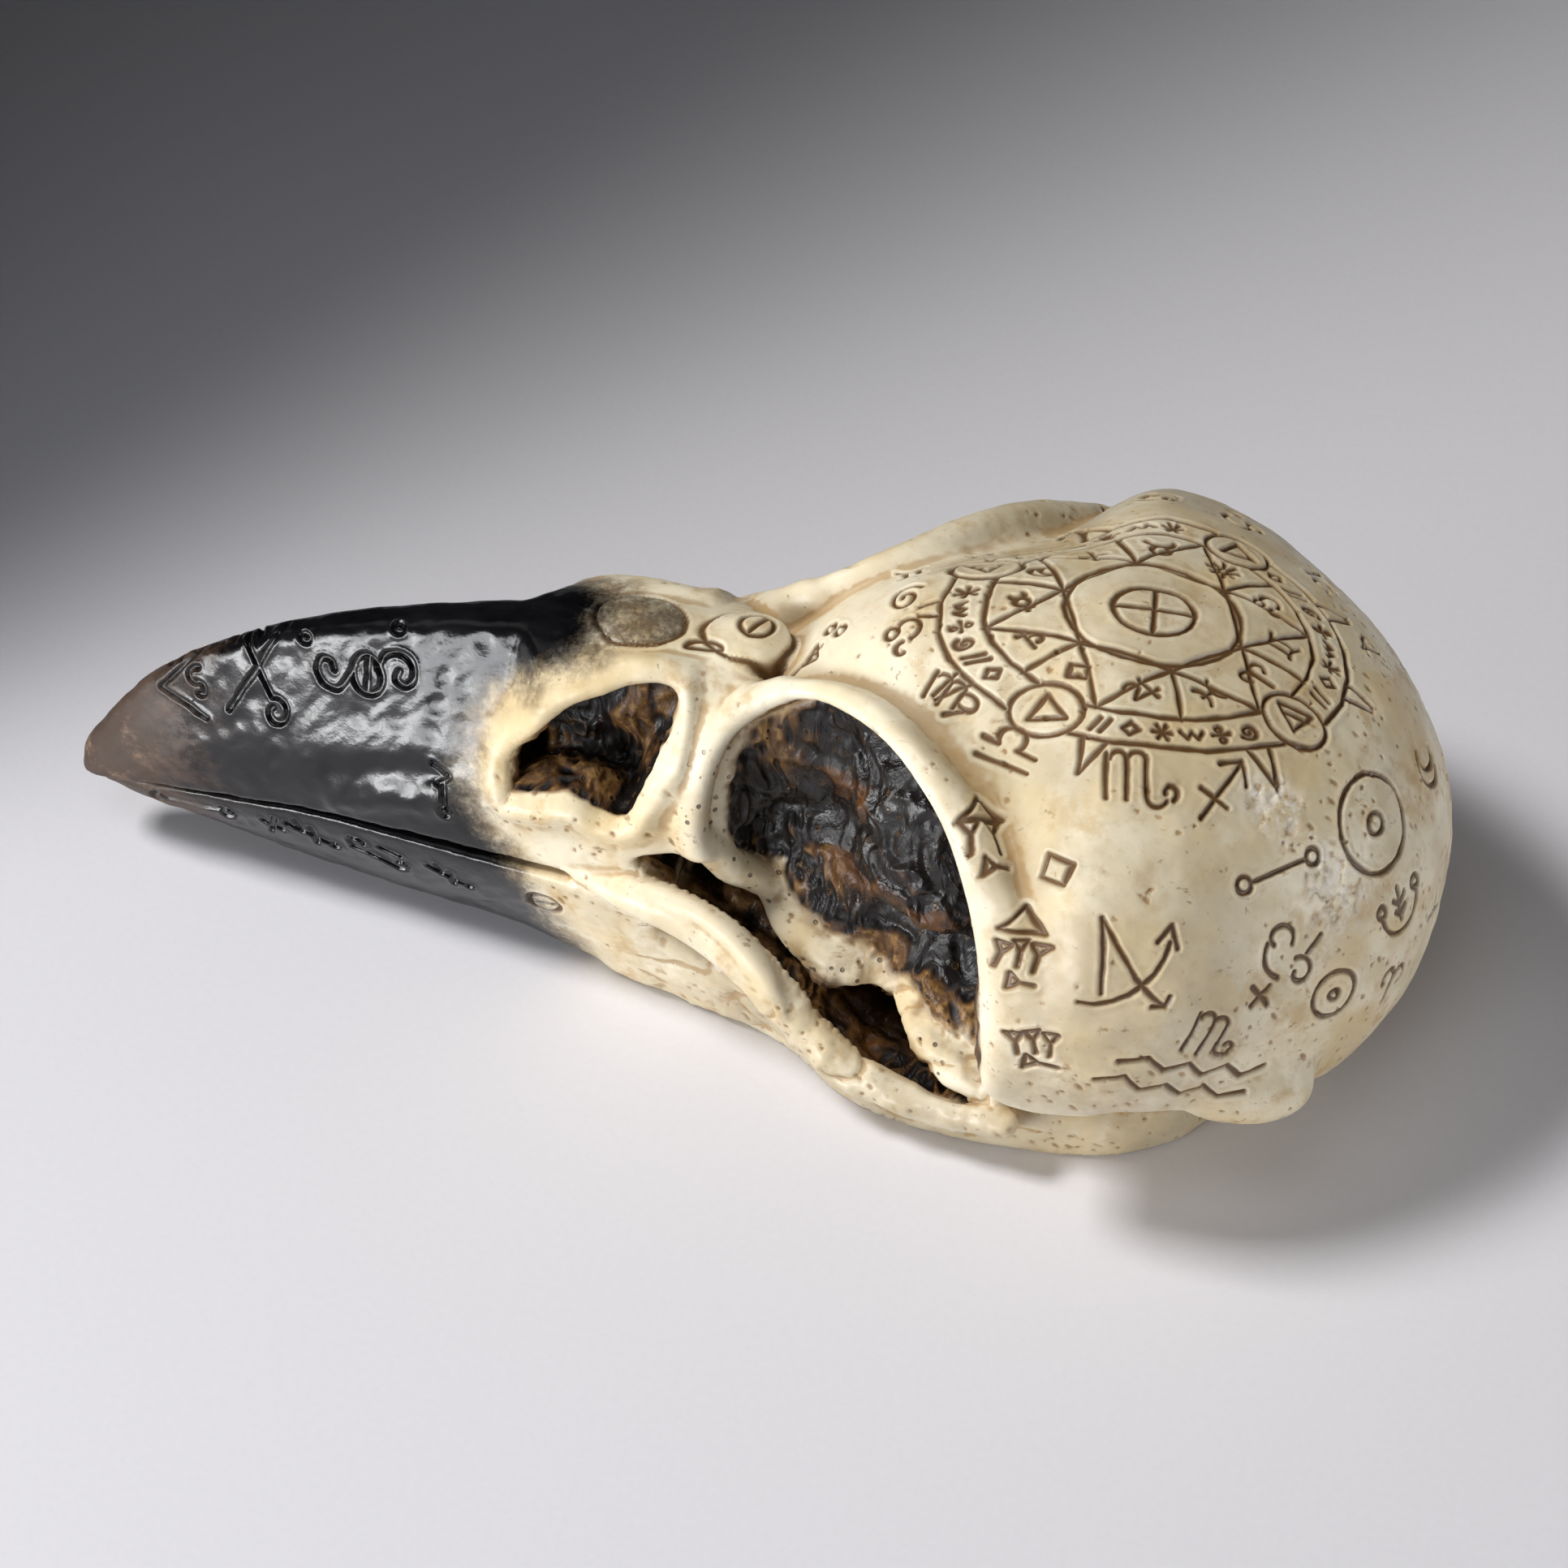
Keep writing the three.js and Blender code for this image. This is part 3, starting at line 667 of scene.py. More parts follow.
def aquarius():
    wave = [(-1.7 + 0.5 * k, 0.16 if k % 2 else -0.14) for k in range(8)]
    return [path(*wave) + (0.1, 0.3), path(*wave) + (-0.1, -0.35)]


def pisces():
    return [arc(-1.3, 0, 1.0, -50, 50), arc(1.3, 0, 1.0, 130, 230), path((-0.6, 0), (0.6, 0))]


def sun():
    rays = [path((0.5 * np.cos(a), 0.5 * np.sin(a)), (0.95 * np.cos(a), 0.95 * np.sin(a)))
            for a in np.radians(np.arange(0, 360, 45))]
    return [ring(0, 0, 0.3)] + rays


def cross():
    return [path((-0.7, 0), (0.7, 0)), path((0, -0.9), (0, 0.9))]


def diamond():
    return [path((-0.7, 0), (0, 0.7), (0.7, 0), (0, -0.7), (-0.7, 0))]


def square():
    return [path((-0.6, -0.6), (0.6, -0.6), (0.6, 0.6), (-0.6, 0.6), (-0.6, -0.6))]


def crescent():
    return [arc(0, 0, 0.8, 60, 300), arc(0.45, 0, 0.66, 85, 275)]


def triangle():
    return [path((-0.8, -0.6), (0, 0.8), (0.8, -0.6), (-0.8, -0.6))]


def barred_triangle():
    return [path((-0.8, 0.6), (0, -0.8), (0.8, 0.6), (-0.8, 0.6)), path((-0.5, 0.1), (0.5, 0.1))]


def mercury():
    return [ring(0, 0.1, 0.4), arc(0, 0.95, 0.45, 200, 340), path((0, -0.3), (0, -1)),
            path((-0.35, -0.66), (0.35, -0.66))]


def saturn():
    return [path((-0.3, 1), (-0.3, -0.8)), path((-0.7, 0.65), (0.15, 0.65)),
            curl(0.1, -0.05, 0.45, 160, -260, 0.8)]


def jupiter():
    return [arc(-0.4, 0.5, 0.42, 170, -60), path((-0.2, 0.14), (-0.8, -0.4), (0.8, -0.4)),
            path((0.4, 0.8), (0.4, -0.9))]


def ringed_bar():
    return [ring(-1.45, 0, 0.28), path((-1.15, 0), (1.15, 0)), ring(1.45, 0, 0.28)]


def twin_ring():
    return [ring(0, 0, 1), ring(0, 0, 0.22)]


def bow_and_arrow():
    """A bow with its arrow and a stay."""
    return [path((-0.55, 1.0), (-0.5, -0.6)), path((-0.55, 1.0), (0.2, -0.3), (0.85, -0.95)),
            path((0.95, -0.7), (0.85, -0.95), (0.6, -0.9)), arc(-0.7, 0.75, 1.6, -100, -10),
            path((0.6, 0.5), (0.9, 0.85), (1.05, 0.35))]


def scroll_and_cross():
    return [curl(-0.4, 0.75, 0.42, -20, 250, 0.6), arc(-0.1, 0.35, 0.7, 160, 260),
            curl(0.45, -0.2, 0.45, 120, -300, 0.35), path((-0.9, -0.6), (-0.3, -1.1)),
            path((-0.4, -0.55), (-0.8, -1.15)), path((0.55, 0.3), (0.9, 0.8))]


def looped_em():
    return em() + [curl(0.62, -0.35, 0.42, 170, 330, 0.3)]


def hung_rings():
    """Two small rings hung from a bowl, with a sprig between them."""
    return [arc(0, 0.1, 0.8, 195, 345, 1.2), ring(-0.78, 0.1, 0.16), ring(0.78, 0.1, 0.16),
            path((0, -0.5), (0, 0.4)), path((-0.25, 0.15), (0, -0.1), (0.25, 0.15)),
            path((-0.2, -0.2), (0, -0.4), (0.2, -0.2))]


def wedges(*places):
    """Strokes of a cut reed, each a small triangle with a tail, at (x, y, size, turn)."""
    one = [path((-0.5, 0.6), (0.5, 0.6), (0, -0.1), (-0.5, 0.6)), path((0, -0.1), (0, -1.1))]
    return [stroke for place in places for stroke in shifted(one, *place)]


def roof():
    return [path((-0.9, 0.5), (0.1, 1.5), (0.8, 0.5), (-0.9, 0.5))]


def roofed_pair():
    return roof() + wedges((-0.6, 0, 0.7, 0), (0.45, 0, 0.7, 8), (0.2, -1.3, 0.6, 90))


def roofed_trio():
    return roof() + wedges((-0.6, -0.4, 0.6, -6), (0.1, -0.2, 0.6, 4), (0.8, -0.3, 0.6, 0),
                           (0.3, -1.5, 0.6, 90))


def open_trio():
    return wedges((-0.7, 0, 0.65, 12), (0, 0.2, 0.65, 12), (0.7, 0.1, 0.65, 0), (0.2, -1.1, 0.8, 84))


def wide_virgo():
    return [stroke * (1.4, 0.9) for stroke in virgo()]


def spiral():
    return [curl(0, 0, 1, 200, 500, 0.2)]


def ring_pair():
    return [ring(-0.7, -0.1, 0.45), ring(0.6, 0.2, 0.45)]


def kite():
    return [path((-1, -0.6), (0.9, 0.5)), path((-0.2, -0.2), (0.5, 0.7), (0.8, -0.1), (-0.2, -0.2))]


def slashed_ring():
    return [ring(0, 0, 0.9), path((-0.5, -0.5), (0.5, 0.5))]


def half_moon():
    return [arc(0, 0, 1, 0, 180, 0.5), path((-1, 0), (1, 0))]


def dot_ring():
    return [ring(0, 0, 0.9)]


def barred_oval():
    return [ring(0, 0, 1, 0.7), path((-0.8, 0), (0.8, 0))]


def double_scroll():
    """A leaning barred oval with a tendril from each end."""
    left = stations([[-0.42, 0.3], [-0.75, -0.15], [-1.15, -0.55], [-1.6, -0.45], [-1.85, 0.05],
                     [-1.65, 0.45], [-1.3, 0.4], [-1.25, 0.1]])
    right = stations([[0.42, 0.25], [0.7, 0.7], [1.15, 0.8], [1.55, 0.5], [1.6, 0], [1.3, -0.3],
                      [1.0, -0.1], [1.1, 0.2]])
    return [left, right, ring(0, 0, 0.5, 1.3), path((0.1, 0.55), (-0.1, -0.6))]


def hook_cross():
    """A long leaning staff with a bar, and a scroll at its foot."""
    return [path((-1.0, -0.9), (0.9, 1.1)), path((-0.2, 1.0), (0.3, -0.6)),
            curl(0.3, -1.0, 0.42, 90, -330, 0.3)]


def angle_hook():
    return [path((0.9, 1.1), (-0.9, -0.2), (0.4, -1.1)), curl(0.35, 0.1, 0.3, 60, 200, 0.6),
            curl(0.35, -0.28, 0.24, 90, -200, 0.6)]


def beak_mark():
    return [path((-0.5, 1.0), (0.4, 0.6), (-0.1, 0.1)), path((0.1, 0.2), (0.3, -0.8)), ring(0.3, -1.1, 0.2)]


def snake():
    return [curl(-0.9, 0.5, 0.4, 0, 230, 0.5), path((-1.1, 0.2), (-0.3, -0.2), (0.4, -0.7)),
            curl(0.7, -0.5, 0.35, 230, 260, 0.4), path((0.2, 0.5), (0.9, 0.1))]


def sprig():
    return [path((-1, 0.6), (1, -0.6)), path((-0.4, 0.9), (-0.3, 0.1)), path((0.3, 0.5), (0.2, -0.7)),
            ring(1.15, -0.7, 0.18)]


# the big seal on the crown
SEAL_RADIUS = 29.3
SEAL_SPOT = (59.1, -0.4, 78.9)
SEAL_FACING = (0.14, -0.02, 0.99)
SEAL_TURN = -11.4
SEAL_SQUASH = 0.76      # the seal is cut as an oval, wider along the skull than across it
SEAL_INNER = 0.80       # radius of the inner ring, the outer being 1


def seal():
    """Double ring with a six-pointed star, a wheel, four ringed triangles and signs between, drawn
    in a circle of radius 1 with angles in degrees."""
    marks = (triangle, barred_triangle, triangle, barred_triangle)
    medallions = [-121, -38, 62, 150]
    between_rings = 0.9
    wheel, hub = 0.43, 0.2
    strokes = []

    def at(angle, reach):
        a = np.radians(angle)
        return reach * np.cos(a), reach * np.sin(a)

    gap = 9.6
    for first, second in zip(medallions, medallions[1:] + [medallions[0] + 360]):
        strokes.append(arc(0, 0, 1, first + gap, second - gap))
        strokes.append(arc(0, 0, SEAL_INNER, first + gap, second - gap))
    for angle, mark in zip(medallions, marks):
        cx, cy = at(angle, 0.91)
        strokes.append(ring(cx, cy, 0.165))
        strokes += shifted(mark(), cx, cy + 0.01, 0.105)
    for start in (12, 72):
        tips = [at(start + 120 * k, SEAL_INNER) for k in range(3)]
        strokes.append(path(*tips, tips[0]))
    strokes.append(ring(0, 0, wheel))
    strokes += [ring(0, 0, hub), path((-hub, 0), (hub, 0)), path((0, -hub), (0, hub))]
    for angle in np.arange(42, 402, 60):
        strokes.append(path(at(angle, wheel), at(angle, SEAL_INNER)))
    signs = (leo, sun, taurus, cross, crescent, mercury, saturn, diamond, jupiter, pisces, aries, gemini)
    for k, sign in enumerate(signs):
        angle = 27 + 30 * k
        cx, cy = at(angle, 0.63)
        strokes += shifted(sign(), cx, cy, 0.082, (angle - 90) * 0.25)
    # plain filling marks: twin slashes, a diamond, a star of three strokes, a wave, a dotted bar, a scroll
    fillers = [[path((-0.7, -0.8), (-0.1, 0.8)), path((0.2, -0.8), (0.8, 0.8))], diamond(),
               [path((-0.8, 0), (0.8, 0)), path((-0.4, -0.8), (0.4, 0.8)), path((0.4, -0.8), (-0.4, 0.8))],
               [path((-1, -0.3), (-0.5, 0.4), (0, -0.3), (0.5, 0.4), (1, -0.3))],
               [ring(0, 0.6, 0.25), path((-0.8, 0), (0.8, 0)), ring(0, -0.6, 0.25)],
               [curl(0, 0, 0.9, 30, 520, 0.15)]]
    turns = [angle for angle in np.arange(-104, 250, 9.4)
             if min(abs((angle - m + 180) % 360 - 180) for m in medallions) > 15]
    for k, angle in enumerate(turns):
        cx, cy = at(angle, between_rings)
        strokes += shifted(fillers[k % len(fillers)], cx, cy, 0.055, angle - 90)
    for angle in (-148, -104, -57, -8, 30, 104, 176):
        left, right = at(angle - 3.4, 1.01), at(angle + 3.4, 1.01)
        strokes.append(path(left, at(angle, 1.22), right))
    return [stroke * (1, SEAL_SQUASH) for stroke in strokes]


# sign, (x, y, z) close to where it sits, half height in mm, turn in degrees
SIGNS = [
    (wide_virgo, (33.7, -17.2, 73.7), 3.2, -30), (libra, (42.9, -24.2, 72.8), 4.2, -24),
    (scorpio, (60.7, -25.9, 72), 4.6, -6), (sagittarius, (72.1, -24.4, 69.6), 4.1, 4),
    (square, (52.2, -37.9, 63.7), 2.7, -22), (bow_and_arrow, (62.4, -43.4, 53.9), 6.6, 0),
    (ringed_bar, (81.3, -29.3, 60.7), 4.0, 19), (scroll_and_cross, (84.3, -35.9, 49.2), 5.4, 0),
    (twin_ring, (93.5, -15.5, 58.2), 7.0, 0), (hung_rings, (98.6, -19, 46.9), 5.6, 30),
    (twin_ring, (91.4, -32.7, 40.7), 3.8, 0), (looped_em, (75.6, -44, 42.3), 4.4, -14),
    (aquarius, (71.6, -46.5, 35.7), 6.8, -8), (roofed_pair, (41.6, -36.3, 67.1), 3.8, -8),
    (roofed_trio, (48.6, -46.6, 57.1), 3.5, -8), (open_trio, (51.6, -51.6, 43.1), 3.4, -4),
    (leo, (24.2, -6, 72.4), 3.2, -30), (spiral, (23.5, 1.6, 72.6), 2.8, 0),
    (ring_pair, (13.7, -0.4, 65.6), 2.0, -20), (kite, (10.5, -3.6, 62), 3.0, 20),
    (gemini, (24, 11, 70), 3, 0), (pisces, (33, 18, 74), 3, 10), (capricorn, (43, 26, 73), 3.4, 12),
    (cancer, (56, 31, 70), 3.2, 0), (leo, (68, 30, 68), 3.6, -8), (jupiter, (80, 24, 64), 3.4, -10),
    (saturn, (88, 14, 62), 3.4, -20), (crescent, (97, 2, 52), 4.2, 0), (sun, (101, 10, 42), 4.4, 0),
    (square, (52, 42, 60), 3.2, 10), (bow_and_arrow, (62, 43, 53), 6, 0),
    (ringed_bar, (80, 34, 55), 3.8, -20), (looped_em, (84, 37, 45), 4.6, 0),
    (twin_ring, (94, 24, 50), 6, 0), (aquarius, (70, 47, 37), 6.2, 0), (triangle, (96, 29, 34), 4, 0),
    (roofed_pair, (38.4, 32.5, 66.5), 3.5, 6), (roofed_trio, (46.4, 43, 55.8), 3.5, 6),
    (open_trio, (50.4, 49, 38.8), 3.6, 4), (cross, (103, -10, 36), 4.2, 20),
    (diamond, (100, 20, 24), 3, 0), (aries, (100, -24, 34), 3, 10), (slashed_ring, (2.2, 1, 63.4), 2.8, 0),
    (half_moon, (-4.7, -4, 61.9), 2.6, -8),
    # on the left of the beak only
    (dot_ring, (-66, -3, 51), 0.8, 0), (dot_ring, (-51, -3, 56), 0.8, 0), (cross, (-72, -9.4, 15), 2.4, -40),
    (sprig, (-43, -15.8, 16), 2.8, -18), (barred_oval, (-27, -19.6, 17.5), 2.9, -16),
]
# on both sides of the beak, turned the other way on the right
PAIRED_SIGNS = [
    (angle_hook, (-86, -4.5, 38.5), 5.6, 0), (hook_cross, (-74, -6.5, 44), 6.2, 0),
    (double_scroll, (-56, -9.5, 50), 4.6, -4), (beak_mark, (-43, -15.2, 36), 3.4, -16),
    (ringed_bar, (-86, -6.6, 13.5), 4.2, -22), (sprig, (-66, -10.8, 15.5), 3.4, -14),
    (snake, (-54, -13.4, 16), 4.2, -16),
]
for sign, (x, y, z), size, turn in PAIRED_SIGNS:
    SIGNS += [(sign, (x, y, z), size, turn), (sign, (x, -y, z), size, -turn)]

READ_UP = np.array([-0.145, 0.717, 0.682])      # signs stand upright to a reader on the skull's left


class Carving:
    """Strokes laid on the skin round one point."""

    def __init__(self, strokes, spot, out, size, turn, radius=None):
        self.out = out / np.linalg.norm(out)
        level = READ_UP * (1, -1 if spot[1] > 1 else 1, 1)
        right = np.cross(level, self.out)
        right /= np.linalg.norm(right)
        up = np.cross(self.out, right)
        c, s = np.cos(np.radians(turn)), np.sin(np.radians(turn))
        self.right, self.up = c * right + s * up, c * up - s * right
        self.spot = np.array(spot, float)
        self.strokes = [np.asarray(stroke) * size for stroke in strokes]
        reach = max(np.abs(stroke).max() for stroke in self.strokes)
        self.reach = radius or reach * 1.5 + 2.5

    def distance(self, p, facing, out):
        """Lowers out to the distance from each point to the nearest stroke."""
        away = p - self.spot
        near = np.flatnonzero((np.abs(away) < self.reach).all(1))
        away = away[near]
        lift = away @ self.out
        ok = (np.abs(lift) < 10) & (facing[near] @ self.out > 0.15)
        near, away = near[ok], away[ok]
        if not len(near):
            return
        wobble = 0.5
        u = (away @ self.right + wobble * (mottle(p[near], 4.0, 1) - 0.5)).astype(np.float32)
        v = (away @ self.up + wobble * (mottle(p[near], 4.0, 2) - 0.5)).astype(np.float32)
        best = out[near]
        for stroke in self.strokes:
            low, high = stroke.min(0) - 1.8, stroke.max(0) + 1.8
            some = np.flatnonzero((u > low[0]) & (u < high[0]) & (v > low[1]) & (v < high[1]))
            if not len(some):
                continue
            su, sv = u[some], v[some]
            least = np.full(len(some), FAR, np.float32)
            for (ax, ay), (bx, by) in zip(stroke[:-1], stroke[1:]):
                dx, dy = bx - ax, by - ay
                h = np.clip(((su - ax) * dx + (sv - ay) * dy) / (dx * dx + dy * dy + 1e-9), 0, 1)
                least = np.minimum(least, np.hypot(su - ax - h * dx, sv - ay - h * dy))
            best[some] = np.minimum(best[some], least)
        out[near] = best


def all_carvings():
    spots = np.array([row[1] for row in SIGNS], float)
    for _ in range(4):
        spots, facing = settle(spots, 3.0, open_skull)
    crown = Carving(seal(), SEAL_SPOT, np.array(SEAL_FACING), SEAL_RADIUS, SEAL_TURN, SEAL_RADIUS * 1.3)
    signs = [Carving(sign(), spot, out, size, turn)
             for (sign, _, size, turn), spot, out in zip(SIGNS, spots, facing)]
    return [crown] + signs


def stroke_distance(carvings, p, facing):
    out = np.full(len(p), FAR, np.float32)
    for carving in carvings:
        carving.distance(p, facing, out)
    return out


# ------------------------------------------------------------------ meshing, carving and painting


def near_values(grid, size, every=4, reach=5.2):
    """The field on the grid, worked out in full only where a coarse look finds the surface near."""
    coarse = skull(grid[::every, ::every, ::every].reshape(-1, 3))
    coarse = coarse.reshape([-(-n // every) for n in size])
    value = coarse
    for axis in range(3):
        value = np.repeat(value, every, axis)
    value = value[:size[0], :size[1], :size[2]].copy()
    near = np.abs(value) < reach
    value[near] = skull(grid[near])
    return value


def raw_skin():
    step = 0.8
    low = np.array([-SKULL_END - 3, 0, -3.0])
    size = np.ceil((np.array([SKULL_END + 3, 54, 84]) - low) / step).astype(int) + 1
    grid = np.stack(np.meshgrid(*(low[k] + np.arange(size[k]) * step for k in range(3)), indexing="ij"), -1)
    half = near_values(grid, size)
    whole = np.concatenate([half[:, :0:-1], half], axis=1)
    origin = low - (0, (size[1] - 1) * step, 0)
    points, quads = surface_net(whole, origin, step)
    points, normal = settle(points)
    for _ in range(3):
        points = points + 0.5 * (neighbours_mean(points, quads) - points)
        points, normal = settle(points)
    triangles = np.concatenate([quads[:, (0, 1, 2)], quads[:, (0, 2, 3)]])
    return points, normal, triangles


def charts_of(points, faces):
    """Numbers the faces by flat chart: touching faces that look the same way share one."""
    n = normals_of(points, faces)
    smooth = n.copy()
    for _ in range(6):
        smooth = neighbours_mean(smooth, faces)
    look = smooth[faces].sum(1)
    look /= np.maximum(np.linalg.norm(look, axis=1), 1e-9)[:, None]
    ways = np.array([(0, 1, 0), (0, -1, 0), (0, 0, 1), (0, 0, -1), (1, 0, 0), (-1, 0, 0)], float)
    side = (look @ ways.T + np.array([0.08, 0.08, 0.06, 0.06, 0, 0])).argmax(1)
    count = len(points)
    sides = np.stack([faces, np.roll(faces, -1, axis=1)], 2)
    key = (sides.min(2) * count + sides.max(2)).ravel()
    order = np.argsort(key, kind="stable")
    same = key[order][1:] == key[order][:-1]
    one, two = order[:-1][same] // 3, order[1:][same] // 3
    alike = side[one] == side[two]
    one, two = one[alike], two[alike]
    label = np.arange(len(faces))
    while True:
        before = label.copy()
        least = np.minimum(label[one], label[two])
        np.minimum.at(label, one, least)
        np.minimum.at(label, two, least)
        label = label[label]
        if (label == before).all():
            break
    roots, label = np.unique(label, return_inverse=True)
    return label, side[roots]


def pack_charts(points, faces, chart, side):
    """Place of each chart in the unit square: which axes it shows, its scale and its offset."""
    axes = np.array([(0, 2), (0, 2), (0, 1), (0, 1), (1, 2), (1, 2)])[side]
    low = np.full((len(side), 2), 1e9)
    high = np.full((len(side), 2), -1e9)
    for k in range(3):
        p = points[faces[:, k]]
        for m in range(2):
            v = p[np.arange(len(p)), axes[chart, m]]
            np.minimum.at(low[:, m], chart, v)
            np.maximum.at(high[:, m], chart, v)
    size = high - low
    order = np.argsort(-size[:, 1])
    gap = 0.004

    def shelves(scale):
        spot = np.zeros((len(side), 2))
        x = y = gap
        tall = 0
        for c in order:
            w, h = size[c] * scale
            if x + w + gap > 1:
                x, y, tall = gap, y + tall + gap, 0
            spot[c] = x, y
            x += w + gap
            tall = max(tall, h)
        return spot, y + tall + gap <= 1
    small, big = 0.0005, 0.01
    for _ in range(24):
        middle = (small + big) / 2
        if shelves(middle)[1]:
            small = middle
        else:
            big = middle
    return axes, low, small, shelves(small)[0]


# what is noted of each point while the mesh is still coarse
DEEP, SHELF_AWAY, LIP_AWAY, NARROW = range(4)


def notes_on(points, normal):
    """Depth below the filled skull, distances to the shelf and to the orbit's front lip, and how
    far the form closes in over each point, from 0 in the open."""
    q = mirrored(unsettled(points))
    # how far the form closes in: it darkens the paint in creases, a brown stain that is also painted shade
    closed_in = 1 - skull(points + 3.0 * normal) / 3.0
    lip = np.minimum(bar(q, FRONT_LIP, 12.0), bar(q, LOBE, 12.0))
    return np.stack([-filled_skull(q), bar(q, SHELF_BEAD, 12.0), lip, closed_in], 1)


def carve_skin():
    """The fine skin before carving: points, normals, notes, triangles, their charts and layout."""
    points, normal, faces = raw_skin()
    chart, side = charts_of(points, faces)
    layout = pack_charts(points, faces, chart, side)
    carvings = all_carvings()
    notes = notes_on(points, normal)
    coarser = 1.0

    def wanted(p, facing, note, length):
        """Which edges are too long for the detail at their middles."""
        finest = 0.27
        edge = np.full(len(p), 0.62)
        edge[note[:, DEEP] > 0.6] = 0.44
        edge[p[:, 2] < 3] = 1.0
        open_case = np.flatnonzero((length > finest * coarser) & (length < edge * coarser))
        near = stroke_distance(carvings, unsettled(p[open_case]), facing[open_case])
        cut = length > edge * coarser
        cut[open_case] = near < 1.15
        return cut

    for _ in range(3):
        points, normal, notes, faces, chart = split_long_edges(points, normal, notes, faces, chart, wanted)
    return points, notes, faces, chart, layout, carvings


def glazed(p, notes, brush):
    """Where the hollows are glazed, where they stay bare bone, and where the glaze is tan."""
    x, y, z = p.T
    side = np.abs(y)
    from_shelf, from_lip = notes[:, SHELF_AWAY], notes[:, LIP_AWAY]
    beside_cheek = side - CHEEK_FACE(x) - 0.2 + 1.2 * brush
    window = np.maximum(orbit_roof(x, side, z), beside_cheek - 30 * ramp(30, 36, z))
    trough = np.maximum(z - CHEEK_HEIGHT(x) - 3.5, np.abs(x - 18.5) - 27)
    trough = np.maximum(trough, np.minimum(side - jaw_wall(x, z) + 1.2, RAMUS(x)[3] - 1 - z))
    inside = np.minimum(window, np.maximum(np.minimum(crevice_at(x, z), trough), beside_cheek))
    inside = np.maximum(np.minimum(inside, naris_at(x, z)), 2 - side)
    hollow = ramp(0.7, 2.4, np.maximum(notes[:, DEEP], -inside - 0.4) + 1.3 * brush)
    past_lip = side - LIP_SIDE(z) + 3 * brush
    behind_lip = ramp(0, -2.8, past_lip) * ramp(2.4, 1.0, orbit_roof(x, side, z))
    hollow = np.maximum(hollow, behind_lip * ramp(61, 55, z) * ramp(12, 6, x))
    above_shelf = z - shelf_at(x)[1] + 1.4
    bare = ramp(4.6, 0.4, from_shelf + 5.0 * brush) * ramp(0, 5, x) * ramp(-0.8, 0.4, above_shelf)
    on_lip = ramp(3.0, 0.3, from_lip + 3.0 * brush) * ramp(57, 50, z) * (x > -6)
    on_lip = on_lip * ramp(-2.8, -0.4, past_lip + 3 * ramp(34, 30, z))
    bare = np.maximum(bare, on_lip)
    tan = np.maximum(ramp(12, 3, from_shelf + 4 * brush), ramp(12, 3, from_lip + 4 * brush))
    tan = np.maximum(tan, ramp(-1, -4, x) * 0.8)
    return hollow * (1 - 0.95 * bare), bare, tan


def cut_strokes(p, normal, carvings):
    """Distance to the nearest stroke of the signs and of the two scale edges, and how far out each
    point lies on the front scale, 1 at its edge."""
    x, y, z = p.T
    stroke = stroke_distance(carvings, p, normal)
    stroke = stroke + 0.22 * (mottle(p, 1.6, 3) - 0.5)
    scales = [np.hypot((x - centre[0]) / radii[0], y / radii[1]) for centre, radii in HINGE_PADS]
    scales = [reach * (1 + 0.5 * (mottles(p, 7, 2, 3) - 0.5)) for reach in scales]
    for reach in scales:
        stroke = np.minimum(stroke, np.abs(reach - 0.98) * 7 + FAR * (z < 56))
    return stroke, scales[0]


def casting_pits(p, rim):
    """Nicks and specks in patches, fewer on the crown and on the orbit's rim."""
    x, y, z = p.T
    patch = mottles(p, 13, 2, 3) + 0.16 * ramp(60, 25, z) + 0.16 * ramp(62, 96, x) - 0.22 * rim
    patch = ramp(0.46, 0.66, patch)
    turned = np.column_stack([x * 0.8 + z * 0.6, y, (z * 0.8 - x * 0.6) * 0.45])
    nick = ramp(0.62, 0.1, dimples(turned, 2.3, 0.5, 1)) * patch
    speck = ramp(0.5, 0.12, dimples(p, 1.9, 0.5, 2)) * ramp(0.35, 0.6, patch + 0.25 * mottle(p, 5, 2))
    return np.maximum(nick, speck)


def scuffs(p, brush):
    rubbed = 0
    for spot, size in SCUFFS:
        away = np.linalg.norm(p - spot, axis=1) / size
        rubbed = np.maximum(rubbed, ramp(1.2, 0.4, away + 0.8 * brush))
    return rubbed


def swollen_lining(p, tan):
    """Fibres and swollen tissue inside the hollows: how far they stand out, and how raised they look."""
    warp = np.stack([mottle(p, 5, k) for k in range(3)], 1) * 5
    strands = ridges(p * (1, 1, 0.45) + warp, 3.0, 1)
    knots = mottles(p + warp, 8.0, 2, 2) - 0.5
    lumps = mottles(p + warp, 3.4, 2, 1) - 0.5
    fine = ridges(p * (1, 0.6, 0.35) + warp * 0.5, 1.2, 2)
    moved = knots * 3.4 + lumps * 1.3 + 0.35 * strands + (0.08 + 0.35 * tan) * fine
    return moved, 0.5 + knots * 1.9 + lumps * 0.9 + 0.3 * (fine - 0.3) * (0.3 + tan)


def hammered_lacquer(p):
    """Slanting streaks and round dents under the lacquer."""
    x, y, z = p.T
    turned = np.column_stack([x * 0.8 - z * 0.6, y, (z * 0.8 + x * 0.6) * 0.35])
    hammered = mottles(turned, 2.6, 2, 1) - 0.5
    return 0.42 * hammered - 0.14 * ramp(2.4, 0.4, dimples(p, 4.6, 0.8, 0))


